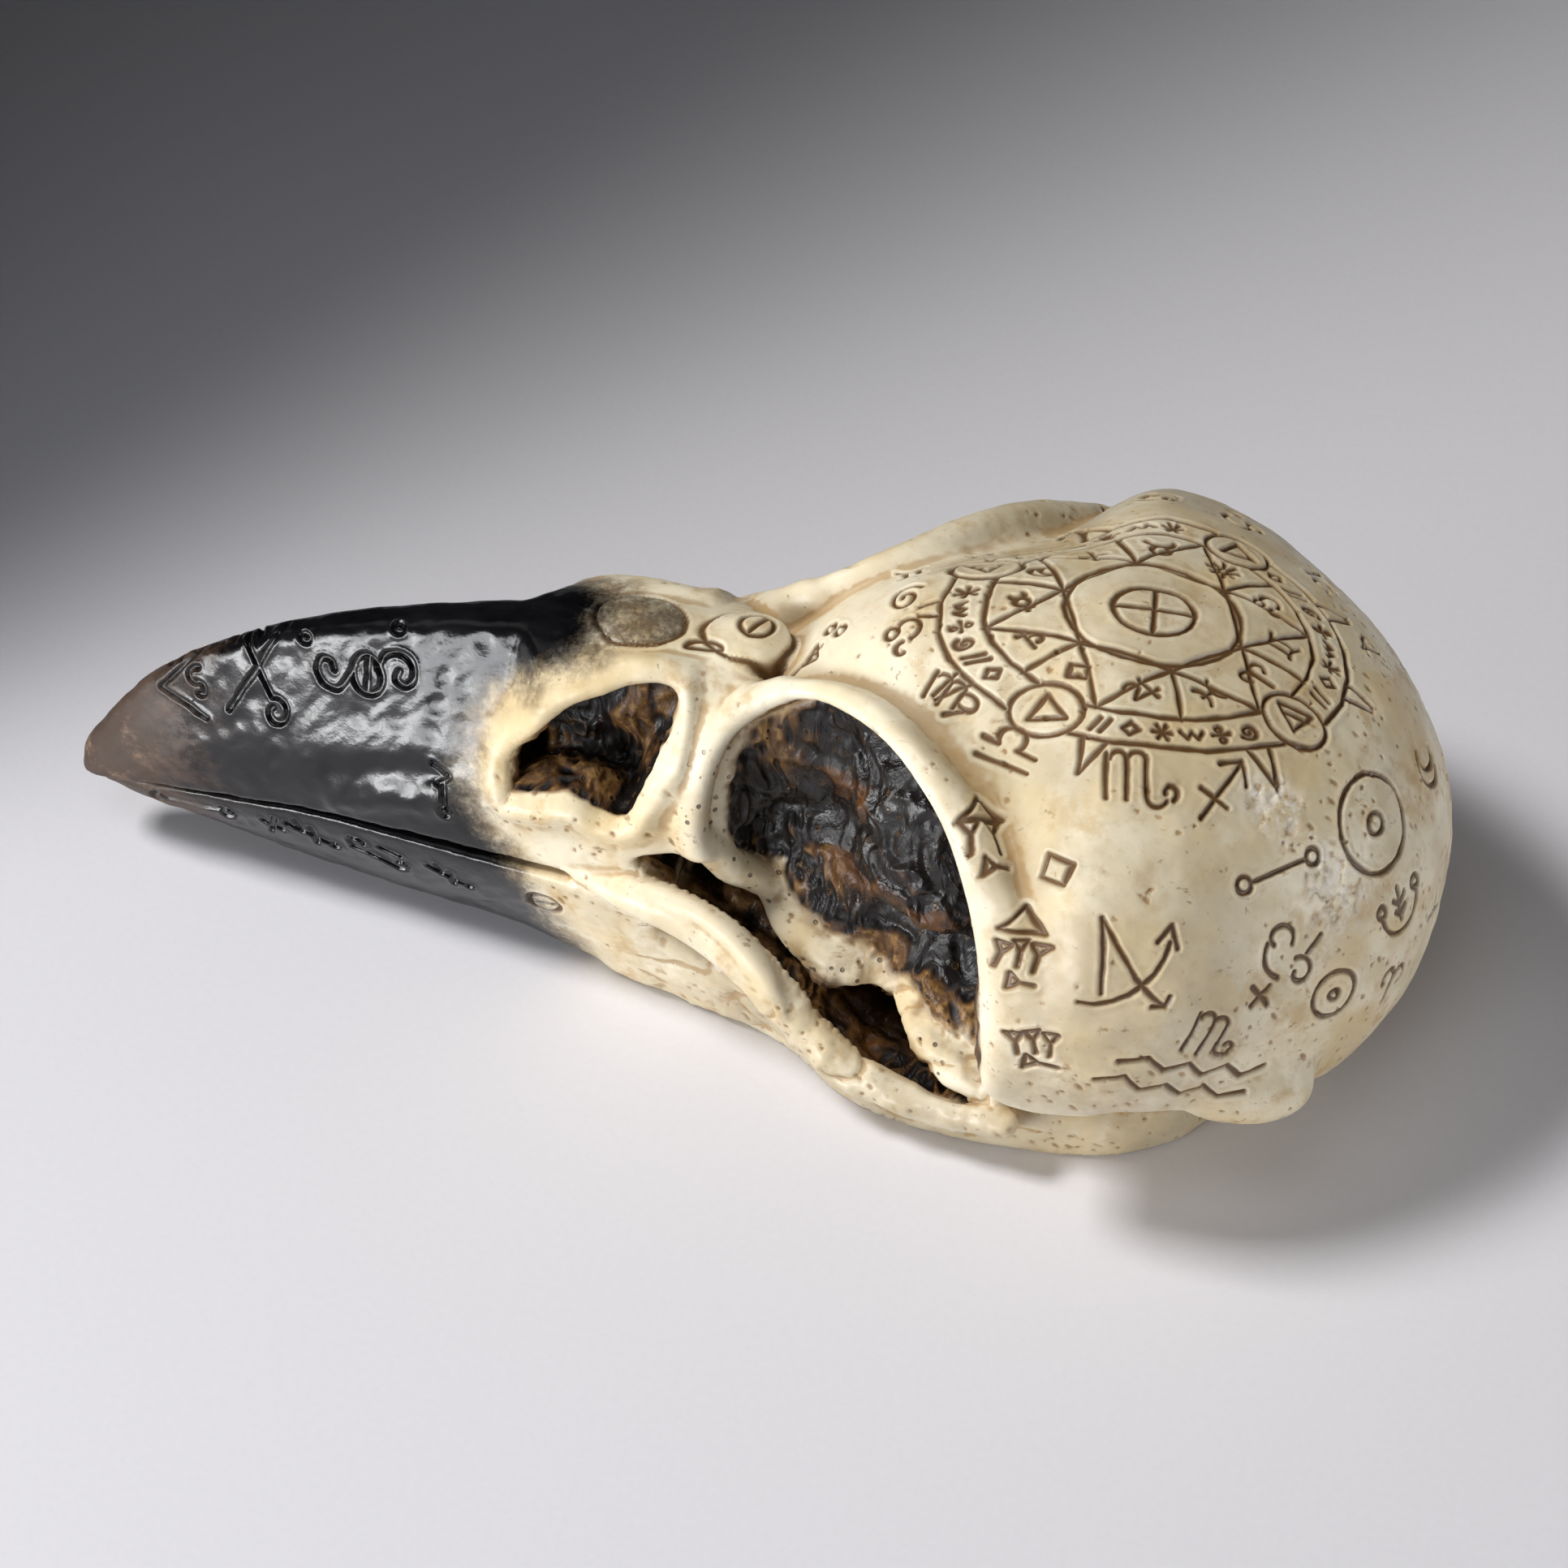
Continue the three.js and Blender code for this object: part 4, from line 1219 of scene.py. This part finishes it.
def relief_and_paint(p, normal, notes, carvings):
    """How far each point moves out, and the masks for the paints."""
    p = unsettled(p)
    x, _, z = p.T
    brush = mottles(p, 4.0, 3, 1) - 0.5
    hollow, bare, tan = glazed(p, notes, brush)
    rim = ramp(4.5, 0.5, np.abs(orbit_at(x, z))) * ramp(1.0, -1.0, notes[:, DEEP] - 1.5)
    stroke, front_scale = cut_strokes(p, normal, carvings)
    groove = ramp(0.64, 0.1, stroke)
    edge_drift = 6 * (mottles(p * (0.6, 1, 1), 5, 3, 1) - 0.5)
    lacquer = ramp(-8, 7, LACQUER_EDGE(z) - x + edge_drift)
    lacquer = np.maximum(lacquer, 0.5 * ramp(1.0, 0.9, front_scale) * (z > 57))
    lacquer = lacquer * (1 - hollow * ramp(-40, -34, x))
    bone = 1 - lacquer
    low_jaw = ramp(24, 12, z) * ramp(60, 40, x) * ramp(-16, -6, x)
    rugged = 0.5 + 1.3 * low_jaw
    pits = casting_pits(p, rim) * bone * (1 - hollow)
    scuffed = scuffs(p, brush)
    lining, raised = swollen_lining(p, tan)
    moved = 0.9 * (mottles(p, 16, 2, 0) - 0.5) * bone
    moved -= 0.6 * low_jaw * ramp(0.55, 1.0, ridges(p * (0.45, 1, 1), 5.0, 2)) * bone
    moved += rugged * (mottles(p, 5.0, 3, 2) - 0.5) * bone * (1 - 0.7 * rim)
    moved -= 0.5 * groove
    moved += 0.08 * np.exp(-((stroke - 0.88) / 0.3) ** 2)
    moved -= 0.32 * pits
    moved -= 0.35 * scuffed * ramp(0.45, 0.6, mottles(p, 1.8, 2, 2))
    moved += hollow * lining
    moved += lacquer * hammered_lacquer(p)
    # the braincase wash is also painted shade: full on the sides, half on the crown, none on the orbit's rim,
    # and a darker band low down by the table
    braincase_wash_and_shade = ramp(10, 34, x) * ramp(96, 68, x) * ramp(14, 30, z) * (0.5 + 0.5 * ramp(80, 66, z))
    masks = {
        "carved": groove,
        "pits": pits,
        "hollow": hollow,
        "lacquer": lacquer,
        "raised": raised,
        "porous": np.maximum(hollow * (0.6 + 0.4 * tan), bare),
        "tan": tan,
        "narrow": notes[:, NARROW],
        "rim": rim * (1 - hollow),
        "scuffed": scuffed,
        "wash_and_shade": np.maximum(braincase_wash_and_shade * (1 - rim), ramp(22, 10, z) * ramp(-8, 6, x)),
    }
    return moved, masks


def skin_mesh():
    """The carved skin as a mesh, with a mask for each paint and flat charts for its texture space."""
    points, notes, faces, chart, layout, carvings = carve_skin()
    flat = points.copy()
    normal = normals_of(points, faces)
    moved, masks = relief_and_paint(points, normal, notes, carvings)
    under = points[:, 2] < 0.6
    points = points + normal * np.where(under, 0, moved)[:, None]
    points[:, 2] = np.maximum(points[:, 2], 0)
    # recesses hold the wash: how far a point lies below the mean of those round it
    mean = points
    for _ in range(4):
        mean = neighbours_mean(mean, faces)
    masks["recess"] = np.clip(((mean - points) * normal).sum(1) / 0.12, -1, 1) * 0.5 + 0.5
    mesh = bpy.data.meshes.new("skull_skin")
    mesh.vertices.add(len(points))
    mesh.vertices.foreach_set("co", (points * MM).astype(np.float32).ravel())
    mesh.loops.add(len(faces) * 3)
    mesh.loops.foreach_set("vertex_index", faces.astype(np.int32).ravel())
    mesh.polygons.add(len(faces))
    mesh.polygons.foreach_set("loop_start", np.arange(0, len(faces) * 3, 3, dtype=np.int32))
    mesh.polygons.foreach_set("use_smooth", np.ones(len(faces), bool))
    for name, values in masks.items():
        layer = mesh.attributes.new(name, "FLOAT", "POINT")
        layer.data.foreach_set("value", np.clip(values, 0, 1).astype(np.float32))
    axes, low, scale, spot = layout
    corner = faces.ravel()
    which = np.repeat(chart, 3)
    uv = np.empty((len(corner), 2), np.float32)
    for m in range(2):
        shown = flat[corner, axes[which, m]]
        uv[:, m] = (shown - low[which, m]) * scale + spot[which, m]
    mesh.uv_layers.new(name="OFBake").data.foreach_set("uv", np.clip(uv, 0, 1).ravel())
    mesh.update()
    print("skin points", len(points), "triangles", len(faces), "charts", len(low))
    return mesh


# ------------------------------------------------------------------ paint


def paint(code, alpha=1.0):
    """Linear colour of an sRGB hex code."""
    out = []
    for k in (0, 2, 4):
        v = int(code[k:k + 2], 16) / 255
        out.append(v / 12.92 if v <= 0.04045 else ((v + 0.055) / 1.055) ** 2.4)
    return (*out, alpha)


def add(tree, kind, settings, out=0):
    """Adds a node and gives its output out. Settings are its properties, and its sockets by name or
    number, each with a value or with the output that feeds it."""
    made = tree.nodes.new(kind)
    for name, value in settings.items():
        if isinstance(name, str) and hasattr(made, name):
            setattr(made, name, value)
        elif isinstance(value, bpy.types.NodeSocket):
            tree.links.new(value, made.inputs[name])
        else:
            made.inputs[name].default_value = value
    return made.outputs[out] if len(made.outputs) else made


EVEN = (1, 1, 1)
# grain in the paint: size in mm, detail, roughness, stretch along x y z, warp
GRAINS = {
    "drift_grain": (7, 2, 0.55, EVEN, 0), "ground_grain": (9, 4, 0.55, EVEN, 0),
    "ochre_grain": (20, 4, 0.55, EVEN, 0), "sienna_grain": (6, 5, 0.65, EVEN, 0),
    "wash_grain": (14, 4, 0.55, EVEN, 0), "streak_grain": (1.9, 5, 0.65, (0.45, 1, 1), 0),
    "streak_drift": (9, 3, 0.55, EVEN, 0), "scuff_grain": (2.2, 4, 0.7, EVEN, 0),
    "speck_grain": (0.9, 2, 0.55, EVEN, 0), "speck_drift": (7, 3, 0.55, EVEN, 0),
    "rub_grain": (4, 4, 0.55, EVEN, 0), "thread_grain": (1.6, 4, 0.55, EVEN, 0),
    "lip_grain": (3, 3, 0.55, EVEN, 0), "lacquer_grain": (7, 4, 0.6, (0.4, 1, 1), 0),
    "bristles": (4.5, 7, 0.78, (0.6, 1, 1), 0), "fade_grain": (2.2, 5, 0.7, EVEN, 0),
    "edge_grain": (0.8, 4, 0.7, EVEN, 0), "glaze_grain": (1.8, 5, 0.7, EVEN, 0),
    "satin_grain": (3, 3, 0.55, EVEN, 0), "wet_grain": (4, 3, 0.55, EVEN, 0),
    "casting_grain": (1.1, 4, 0.6, EVEN, 0), "brush_lines": (2.4, 3, 0.5, (0.3, 1, 1), 0),
    "fibre_grain": (3.2, 4, 0.55, (1, 1, 0.5), 1.2),
}
# what is seen of a mask or a grain: its value from, its value to, and what those two become
SEEN = {
    "pore_cells": ("cells", 0.19, 0.13, 0, 1), "pore_lips": ("cells", 0.29, 0.22, 0, 1),
    "drift_patches": ("drift_grain", 0.36, 0.46, 0, 1), "ground": ("ground_grain", 0.38, 0.62, 0, 1),
    "ochre": ("ochre_grain", 0.48, 0.62, 0, 1), "sienna": ("sienna_grain", 0.5, 0.7, 0, 1),
    "wash": ("wash_grain", 0.3, 0.65, 0.22, 0.75), "crease_stain_and_shade": ("narrow", 0.25, 0.75, 0, 1),
    "streaks": ("streak_grain", 0.6, 0.7, 0, 1), "streak_patches": ("streak_drift", 0.46, 0.6, 0, 0.65),
    "low_places": ("recess", 0.54, 0.84, 0, 1), "scuff_patches": ("scuff_grain", 0.42, 0.6, 0, 0.85),
    "specks": ("speck_grain", 0.64, 0.73, 0, 1), "speck_patches": ("speck_drift", 0.48, 0.62, 0, 0.6),
    "raised_umber": ("raised", 0.5, 0.8, 0, 1), "raised_brown": ("raised", 0.5, 0.9, 0, 1),
    "rubbed": ("rub_grain", 0.4, 0.56, 0, 1), "raised_tan": ("raised", 0.3, 0.7, 0, 1),
    "raised_threads": ("raised", 0.5, 0.85, 0, 1), "threads": ("thread_grain", 0.45, 0.62, 0, 1),
    "lip_patches": ("lip_grain", 0.45, 0.65, 0.1, 0.7), "lacquer_tone": ("lacquer_grain", 0.4, 0.65, 0, 1),
    "tip_brushed": ("tip_and_bristles", 0.72, 1.12, 0, 1), "tip_end": ("to_tip", 0.6, 1.0, 0, 1),
    "bristle_marks": ("bristles", 0.5, 0.7, 0, 1), "lacquer_start": ("lacquer", 0.02, 0.5, 0, 1),
    "fade_patches": ("fade_grain", 0.3, 0.62, 0, 1), "lacquered": ("lacquer_and_grain", 0.3, 0.94, 0, 1),
    "glaze": ("hollow_and_grain", 0.35, 0.9, 0, 1), "glaze_edge": ("hollow", 0.02, 0.3, 0, 0.55),
    "bone_gloss": ("satin_grain", 0.3, 0.7, 0.30, 0.42), "black_gloss": ("tip_brushed", 0, 1, 0.17, 0.5),
    "wet_patches": ("wet_grain", 0.35, 0.65, 0.22, 0.46),
}
# two of them multiplied
CROSSED = {
    "drifts": ("porous", "drift_patches"), "pores": ("pore_cells", "drifts"),
    "pore_lip_highlights": ("pore_lips", "drifts"), "tan_threads": ("tan", "raised_threads"),
    "fade": ("lacquer_start", "fade_patches"), "fibres": ("hollow", "fibre_grain"),
}
# coats of paint over one another: colour, where it goes, how much of it shows there
IVORY_COATS = (
    ("eee3c8", "ground", 1.0),                  # cream, paler in soft patches
    ("dcbf86", "ochre", 0.5),
    ("c3a067", "sienna", 0.65),
    ("b3a68c", "wash_and_shade", "wash"),               # grey-brown wash on the braincase that also paints shade: on its sides, half as much on its crown, and on the jaw and base low by the table
    ("f2e9d2", "rim", 0.5),                     # rubbed clean on the orbit's rim
    # brown where the form closes in over a point: a stain that is also painted shade in creases
    ("a07c48", "crease_stain_and_shade", 0.38),
    ("7d5c33", "streaks", "streak_patches"),
    ("a57e45", "low_places", 0.6),
    ("7d5a31", "pits", 0.6),
    ("ece4d6", "scuffed", "scuff_patches"),
    ("8a6638", "specks", "speck_patches"),
)
UMBER_COATS = (
    ("3a2415", "raised_umber", 1.0),            # rubbed back to brown and tan on what stands high
    ("5c3b1d", "raised_brown", "rubbed"),
    ("5f4122", "tan", "raised_tan"),
    ("94713f", "tan_threads", "threads"),
    # light brown lip round each pore: a painted highlight
    ("6f5029", "pore_lip_highlights", "lip_patches"),
    ("070505", "pores", 1.0),
)
LACQUER_COATS = (
    ("151416", "lacquer_tone", 1.0),
    ("503e31", "tip_brushed", 0.9),             # dry-brushed grey-brown towards the tip
    ("866c55", "tip_end", "bristle_marks"),
    ("080808", "carved", 0.9),
)
MIX, BUMP = "ShaderNodeMix", "ShaderNodeBump"
MULTIPLIED = {"operation": "MULTIPLY", "use_clamp": True}
ADDED = {"operation": "ADD", "use_clamp": True}


def coated(tree, parts, ground, coats):
    """The ground with coats of paint brushed over it."""
    for colour, where, share in coats:
        over = paint(colour) if isinstance(colour, str) else colour
        cover = add(tree, "ShaderNodeMath", {**MULTIPLIED, 0: parts[where], 1: parts.get(share, share)})
        ground = add(tree, MIX, {"data_type": "RGBA", 0: cover, 6: ground, 7: over}, 2)
    return ground


def paint_parts(tree, place):
    """Masks and grains, what is seen of them, and their sums and products, by name."""
    masks = ("carved", "pits", "hollow", "lacquer", "raised", "rim", "tan", "porous", "narrow", "recess",
             "scuffed", "wash_and_shade")
    pore_grid_mm = 2.3
    parts = {name: add(tree, "ShaderNodeAttribute", {"attribute_name": name}, "Fac") for name in masks}
    parts["cells"] = add(tree, "ShaderNodeTexVoronoi", {"Vector": place, "Scale": 1000.0 / pore_grid_mm},
                         "Distance")
    for name, (size_mm, detail, rough, stretch, warp) in GRAINS.items():
        source = place
        if stretch != EVEN:
            source = add(tree, "ShaderNodeMapping", {"Vector": place, "Scale": stretch})
        parts[name] = add(tree, "ShaderNodeTexNoise", {
            "Vector": source, "Scale": 1000.0 / size_mm, "Detail": detail, "Roughness": rough,
            "Distortion": warp}, "Fac")
    along = add(tree, "ShaderNodeSeparateXYZ", {"Vector": place}, "X")
    parts["to_tip"] = add(tree, "ShaderNodeMapRange", {
        "interpolation_type": "SMOOTHSTEP", "Value": along, "From Min": -0.055, "From Max": -0.106}, "Result")
    for name, one, one_share, two, two_share in (
            ("tip_and_bristles", "to_tip", 0.7, "bristles", 0.9),
            ("lacquer_and_grain", "lacquer", 0.8, "edge_grain", 0.4),
            ("hollow_and_grain", "hollow", 1.0, "glaze_grain", 0.35)):
        first = add(tree, "ShaderNodeMath", {**MULTIPLIED, 0: parts[one], 1: one_share})
        second = add(tree, "ShaderNodeMath", {**MULTIPLIED, 0: parts[two], 1: two_share})
        parts[name] = add(tree, "ShaderNodeMath", {**ADDED, 0: first, 1: second})
    for name, (source, low, high, low_to, high_to) in SEEN.items():
        parts[name] = add(tree, "ShaderNodeMapRange", {
            "interpolation_type": "SMOOTHSTEP", "Value": parts[source], "From Min": low, "From Max": high,
            "To Min": low_to, "To Max": high_to}, "Result")
    for name, (one, two) in CROSSED.items():
        parts[name] = add(tree, "ShaderNodeMath", {**MULTIPLIED, 0: parts[one], 1: parts[two]})
    return parts


def painted_resin():
    """Cast polyester resin under brushed acrylics: ivory with a brown wash rubbed into every cut,
    umber and black glazes in the hollows, black lacquer on the beak dry-brushed grey-brown at its
    tip. The eye gets satin ivory, wet-looking hollows and a glossy, hammered beak."""
    material = bpy.data.materials.new("painted_cast_resin")
    material.use_nodes = True
    tree = material.node_tree
    tree.nodes.clear()
    place = add(tree, "ShaderNodeTexCoord", {}, "Object")
    parts = paint_parts(tree, place)

    ivory = coated(tree, parts, paint("dccdab"), IVORY_COATS)
    umber = coated(tree, parts, paint("120d0b"), UMBER_COATS)
    black = coated(tree, parts, paint("09090b"), LACQUER_COATS)
    skin = coated(tree, parts, ivory, (
        ("583818", "carved", 0.94),             # the wash left in the cuts
        ("5b4330", "fade", 0.7),
        (black, "lacquered", 1.0),
        ("7a5428", "glaze_edge", 1.0),
        (umber, "glaze", 1.0),
        ("3a2412", "pores", 0.8)))

    # satin bone and glossy lacquer; the glaze is wet in patches, drier where it is tan
    dry = add(tree, MIX, {"data_type": "FLOAT", 0: parts["lacquer"], 2: parts["bone_gloss"],
                          3: parts["black_gloss"]})
    tan_share = add(tree, "ShaderNodeMath", {**MULTIPLIED, 0: parts["tan"], 1: 0.16})
    wet = add(tree, "ShaderNodeMath", {**ADDED, 0: parts["wet_patches"], 1: tan_share})
    gloss = add(tree, MIX, {"data_type": "FLOAT", 0: parts["hollow"], 2: dry, 3: wet})

    # casting grain, brush lines, fibres and pore holes that are finer than the mesh
    relief = add(tree, BUMP, {"Strength": 0.16, "Distance": 0.0003, "Height": parts["casting_grain"]})
    relief = add(tree, BUMP, {"Strength": 0.10, "Distance": 0.0004, "Height": parts["brush_lines"],
                              "Normal": relief})
    relief = add(tree, BUMP, {"Strength": 0.5, "Distance": 0.0012, "Height": parts["fibres"],
                              "Normal": relief})
    filled = add(tree, "ShaderNodeMath", {"operation": "SUBTRACT", 0: 1.0, 1: parts["pores"]})
    relief = add(tree, BUMP, {"Strength": 0.8, "Distance": 0.0005, "Height": filled, "Normal": relief})

    surface = add(tree, "ShaderNodeBsdfPrincipled", {
        "IOR": 1.5, "Specular IOR Level": 0.5, "Base Color": skin, "Roughness": gloss, "Normal": relief})
    add(tree, "ShaderNodeOutputMaterial", {"Surface": surface})
    return material


def place_skull():
    skull_skin = bpy.data.objects.new("skull_skin", skin_mesh())
    bpy.context.scene.collection.objects.link(skull_skin)
    skull_skin.data.materials.append(painted_resin())
    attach(skull_skin, "root")
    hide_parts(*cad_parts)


# ------------------------------------------------------------------ table, lights and camera


def matte_sweep():
    """Matte paper sweep: an even, soft, pale grey ground."""
    material = bpy.data.materials.new("matte_paper")
    material.use_nodes = True
    tree = material.node_tree
    surface = tree.nodes["Principled BSDF"]
    place = add(tree, "ShaderNodeTexCoord", {}, "Object")
    fibre = add(tree, "ShaderNodeTexNoise", {"Scale": 900.0, "Detail": 3.0, "Vector": place}, "Fac")
    tone = add(tree, MIX, {"data_type": "RGBA", 0: fibre, 6: paint("dbdadf"), 7: paint("e1e0e5")}, 2)
    tree.links.new(tone, surface.inputs["Base Color"])
    surface.inputs["Roughness"].default_value = 0.7
    surface.inputs["Specular IOR Level"].default_value = 0.2
    return material


def table():
    half = 2.4
    corners = [(-half, -half, 0), (half, -half, 0), (half, half, 0), (-half, half, 0)]
    mesh = bpy.data.meshes.new("table_top")
    mesh.from_pydata(corners, [], [(0, 1, 2, 3)])
    top = bpy.data.objects.new("table_top", mesh)
    bpy.context.scene.collection.objects.link(top)
    top.data.materials.append(matte_sweep())


def aim(thing, spot, target):
    thing.location = spot
    thing.rotation_euler = (Vector(target) - Vector(spot)).to_track_quat("-Z", "Y").to_euler()


def softbox(name, spot, target, wide, high, watts, tint=(1, 1, 1), spread=180):
    light = bpy.data.lights.new(name, "AREA")
    light.shape = "RECTANGLE"
    light.size = wide
    light.size_y = high
    light.energy = watts
    light.color = tint
    light.spread = np.radians(spread)
    lamp = bpy.data.objects.new(name, light)
    bpy.context.scene.collection.objects.link(lamp)
    aim(lamp, spot, target)
    return lamp


def shade_card():
    """A black card between key light and table that keeps the far left of the table dark. Only its
    shadow is seen."""
    low, high = Vector((-0.243, -0.090, 0.003)), Vector((-0.223, 0.335, 0.843))
    away = Vector((0, 1.6, 0))
    mesh = bpy.data.meshes.new("shade_card")
    mesh.from_pydata([low, high, high + away, low + away], [], [(0, 1, 2, 3)])
    card = bpy.data.objects.new("shade_card", mesh)
    bpy.context.scene.collection.objects.link(card)
    dull = bpy.data.materials.new("black_card")
    dull.use_nodes = True
    dull.node_tree.nodes["Principled BSDF"].inputs["Base Color"].default_value = paint("101010")
    card.data.materials.append(dull)
    card.visible_camera = card.visible_diffuse = card.visible_glossy = False


def room():
    """Dim daylight in the room; the eye sees a pale wall behind the table."""
    world = bpy.data.worlds.new("room")
    world.use_nodes = True
    tree = world.node_tree
    lit = tree.nodes["Background"]
    lit.inputs[0].default_value = paint("dfe2ea")
    lit.inputs[1].default_value = 0.016
    wall = add(tree, "ShaderNodeBackground", {"Color": paint("c9c9cd")})
    sight = add(tree, "ShaderNodeLightPath", {}, "Is Camera Ray")
    both = add(tree, "ShaderNodeMixShader", {0: sight, 1: lit.outputs[0], 2: wall})
    tree.links.new(both, tree.nodes["World Output"].inputs[0])
    bpy.context.scene.world = world
    bpy.context.scene.view_settings.view_transform = "Standard"


def studio():
    middle = (0.02, 0, 0.03)
    # the key is two lamps in one place, so that its mirror image on gloss is fainter than its light
    key = softbox("key_from_left", (-1.0, -0.12, 1.52), middle, 0.42, 0.42, 22.5, (1, 0.985, 0.965))
    key.visible_glossy = False
    softbox("key_gleam", (-1.0, -0.12, 1.52), middle, 0.42, 0.42, 5, (1, 0.985, 0.965))
    softbox("overhead_window", (-0.02, -0.34, 0.95), (0.03, -0.08, 0), 0.5, 0.3, 0.1, (0.92, 0.95, 1), 50)
    softbox("front_fill", (0.35, -1.3, 0.7), (0.1, -0.1, 0), 0.8, 0.5, 0.12)
    # two low strips beside the table: they draw the sheen on the beak and open up the shaded flank
    softbox("strip_left", (-0.554, -0.825, 0.2), (-0.04, -0.01, 0.045), 0.55, 0.27, 4.5, (0.95, 0.97, 1))
    softbox("strip_right", (0.62, -0.72, 0.22), (0.06, -0.01, 0.045), 0.5, 0.25, 0.5, (1, 0.98, 0.95))
    softbox("strip_low", (-0.42, -0.3, 0.07), (-0.08, 0, 0), 0.3, 0.08, 0.8)
    softbox("strip_back", (0.72, -0.12, 0.11), (0.1, 0, 0.05), 0.35, 0.16, 1.1, (1, 0.98, 0.95))


def camera():
    """Looks down on the left side of the skull, a little from behind it."""
    turn, height = np.radians(11.412), np.radians(47.0)
    away = 620.0                            # mm, from eye to target
    target = np.array([6.254, 0, 31.449])
    back = np.array([np.sin(turn) * np.cos(height), -np.cos(turn) * np.cos(height), np.sin(height)])
    right = np.array([np.cos(turn), np.sin(turn), 0])
    up = np.cross(back, right)
    lens = bpy.data.cameras.new("camera")
    lens.sensor_width = 36
    lens.lens = 95.24
    lens.clip_start = 0.01
    eye = bpy.data.objects.new("camera", lens)
    bpy.context.scene.collection.objects.link(eye)
    pose = Matrix.Identity(4)
    for row in range(3):
        pose[row][0], pose[row][1], pose[row][2] = right[row], up[row], back[row]
        pose[row][3] = (target[row] + away * back[row]) * MM
    eye.matrix_world = pose
    bpy.context.scene.camera = eye


place_skull()
table()
shade_card()
room()
studio()
camera()
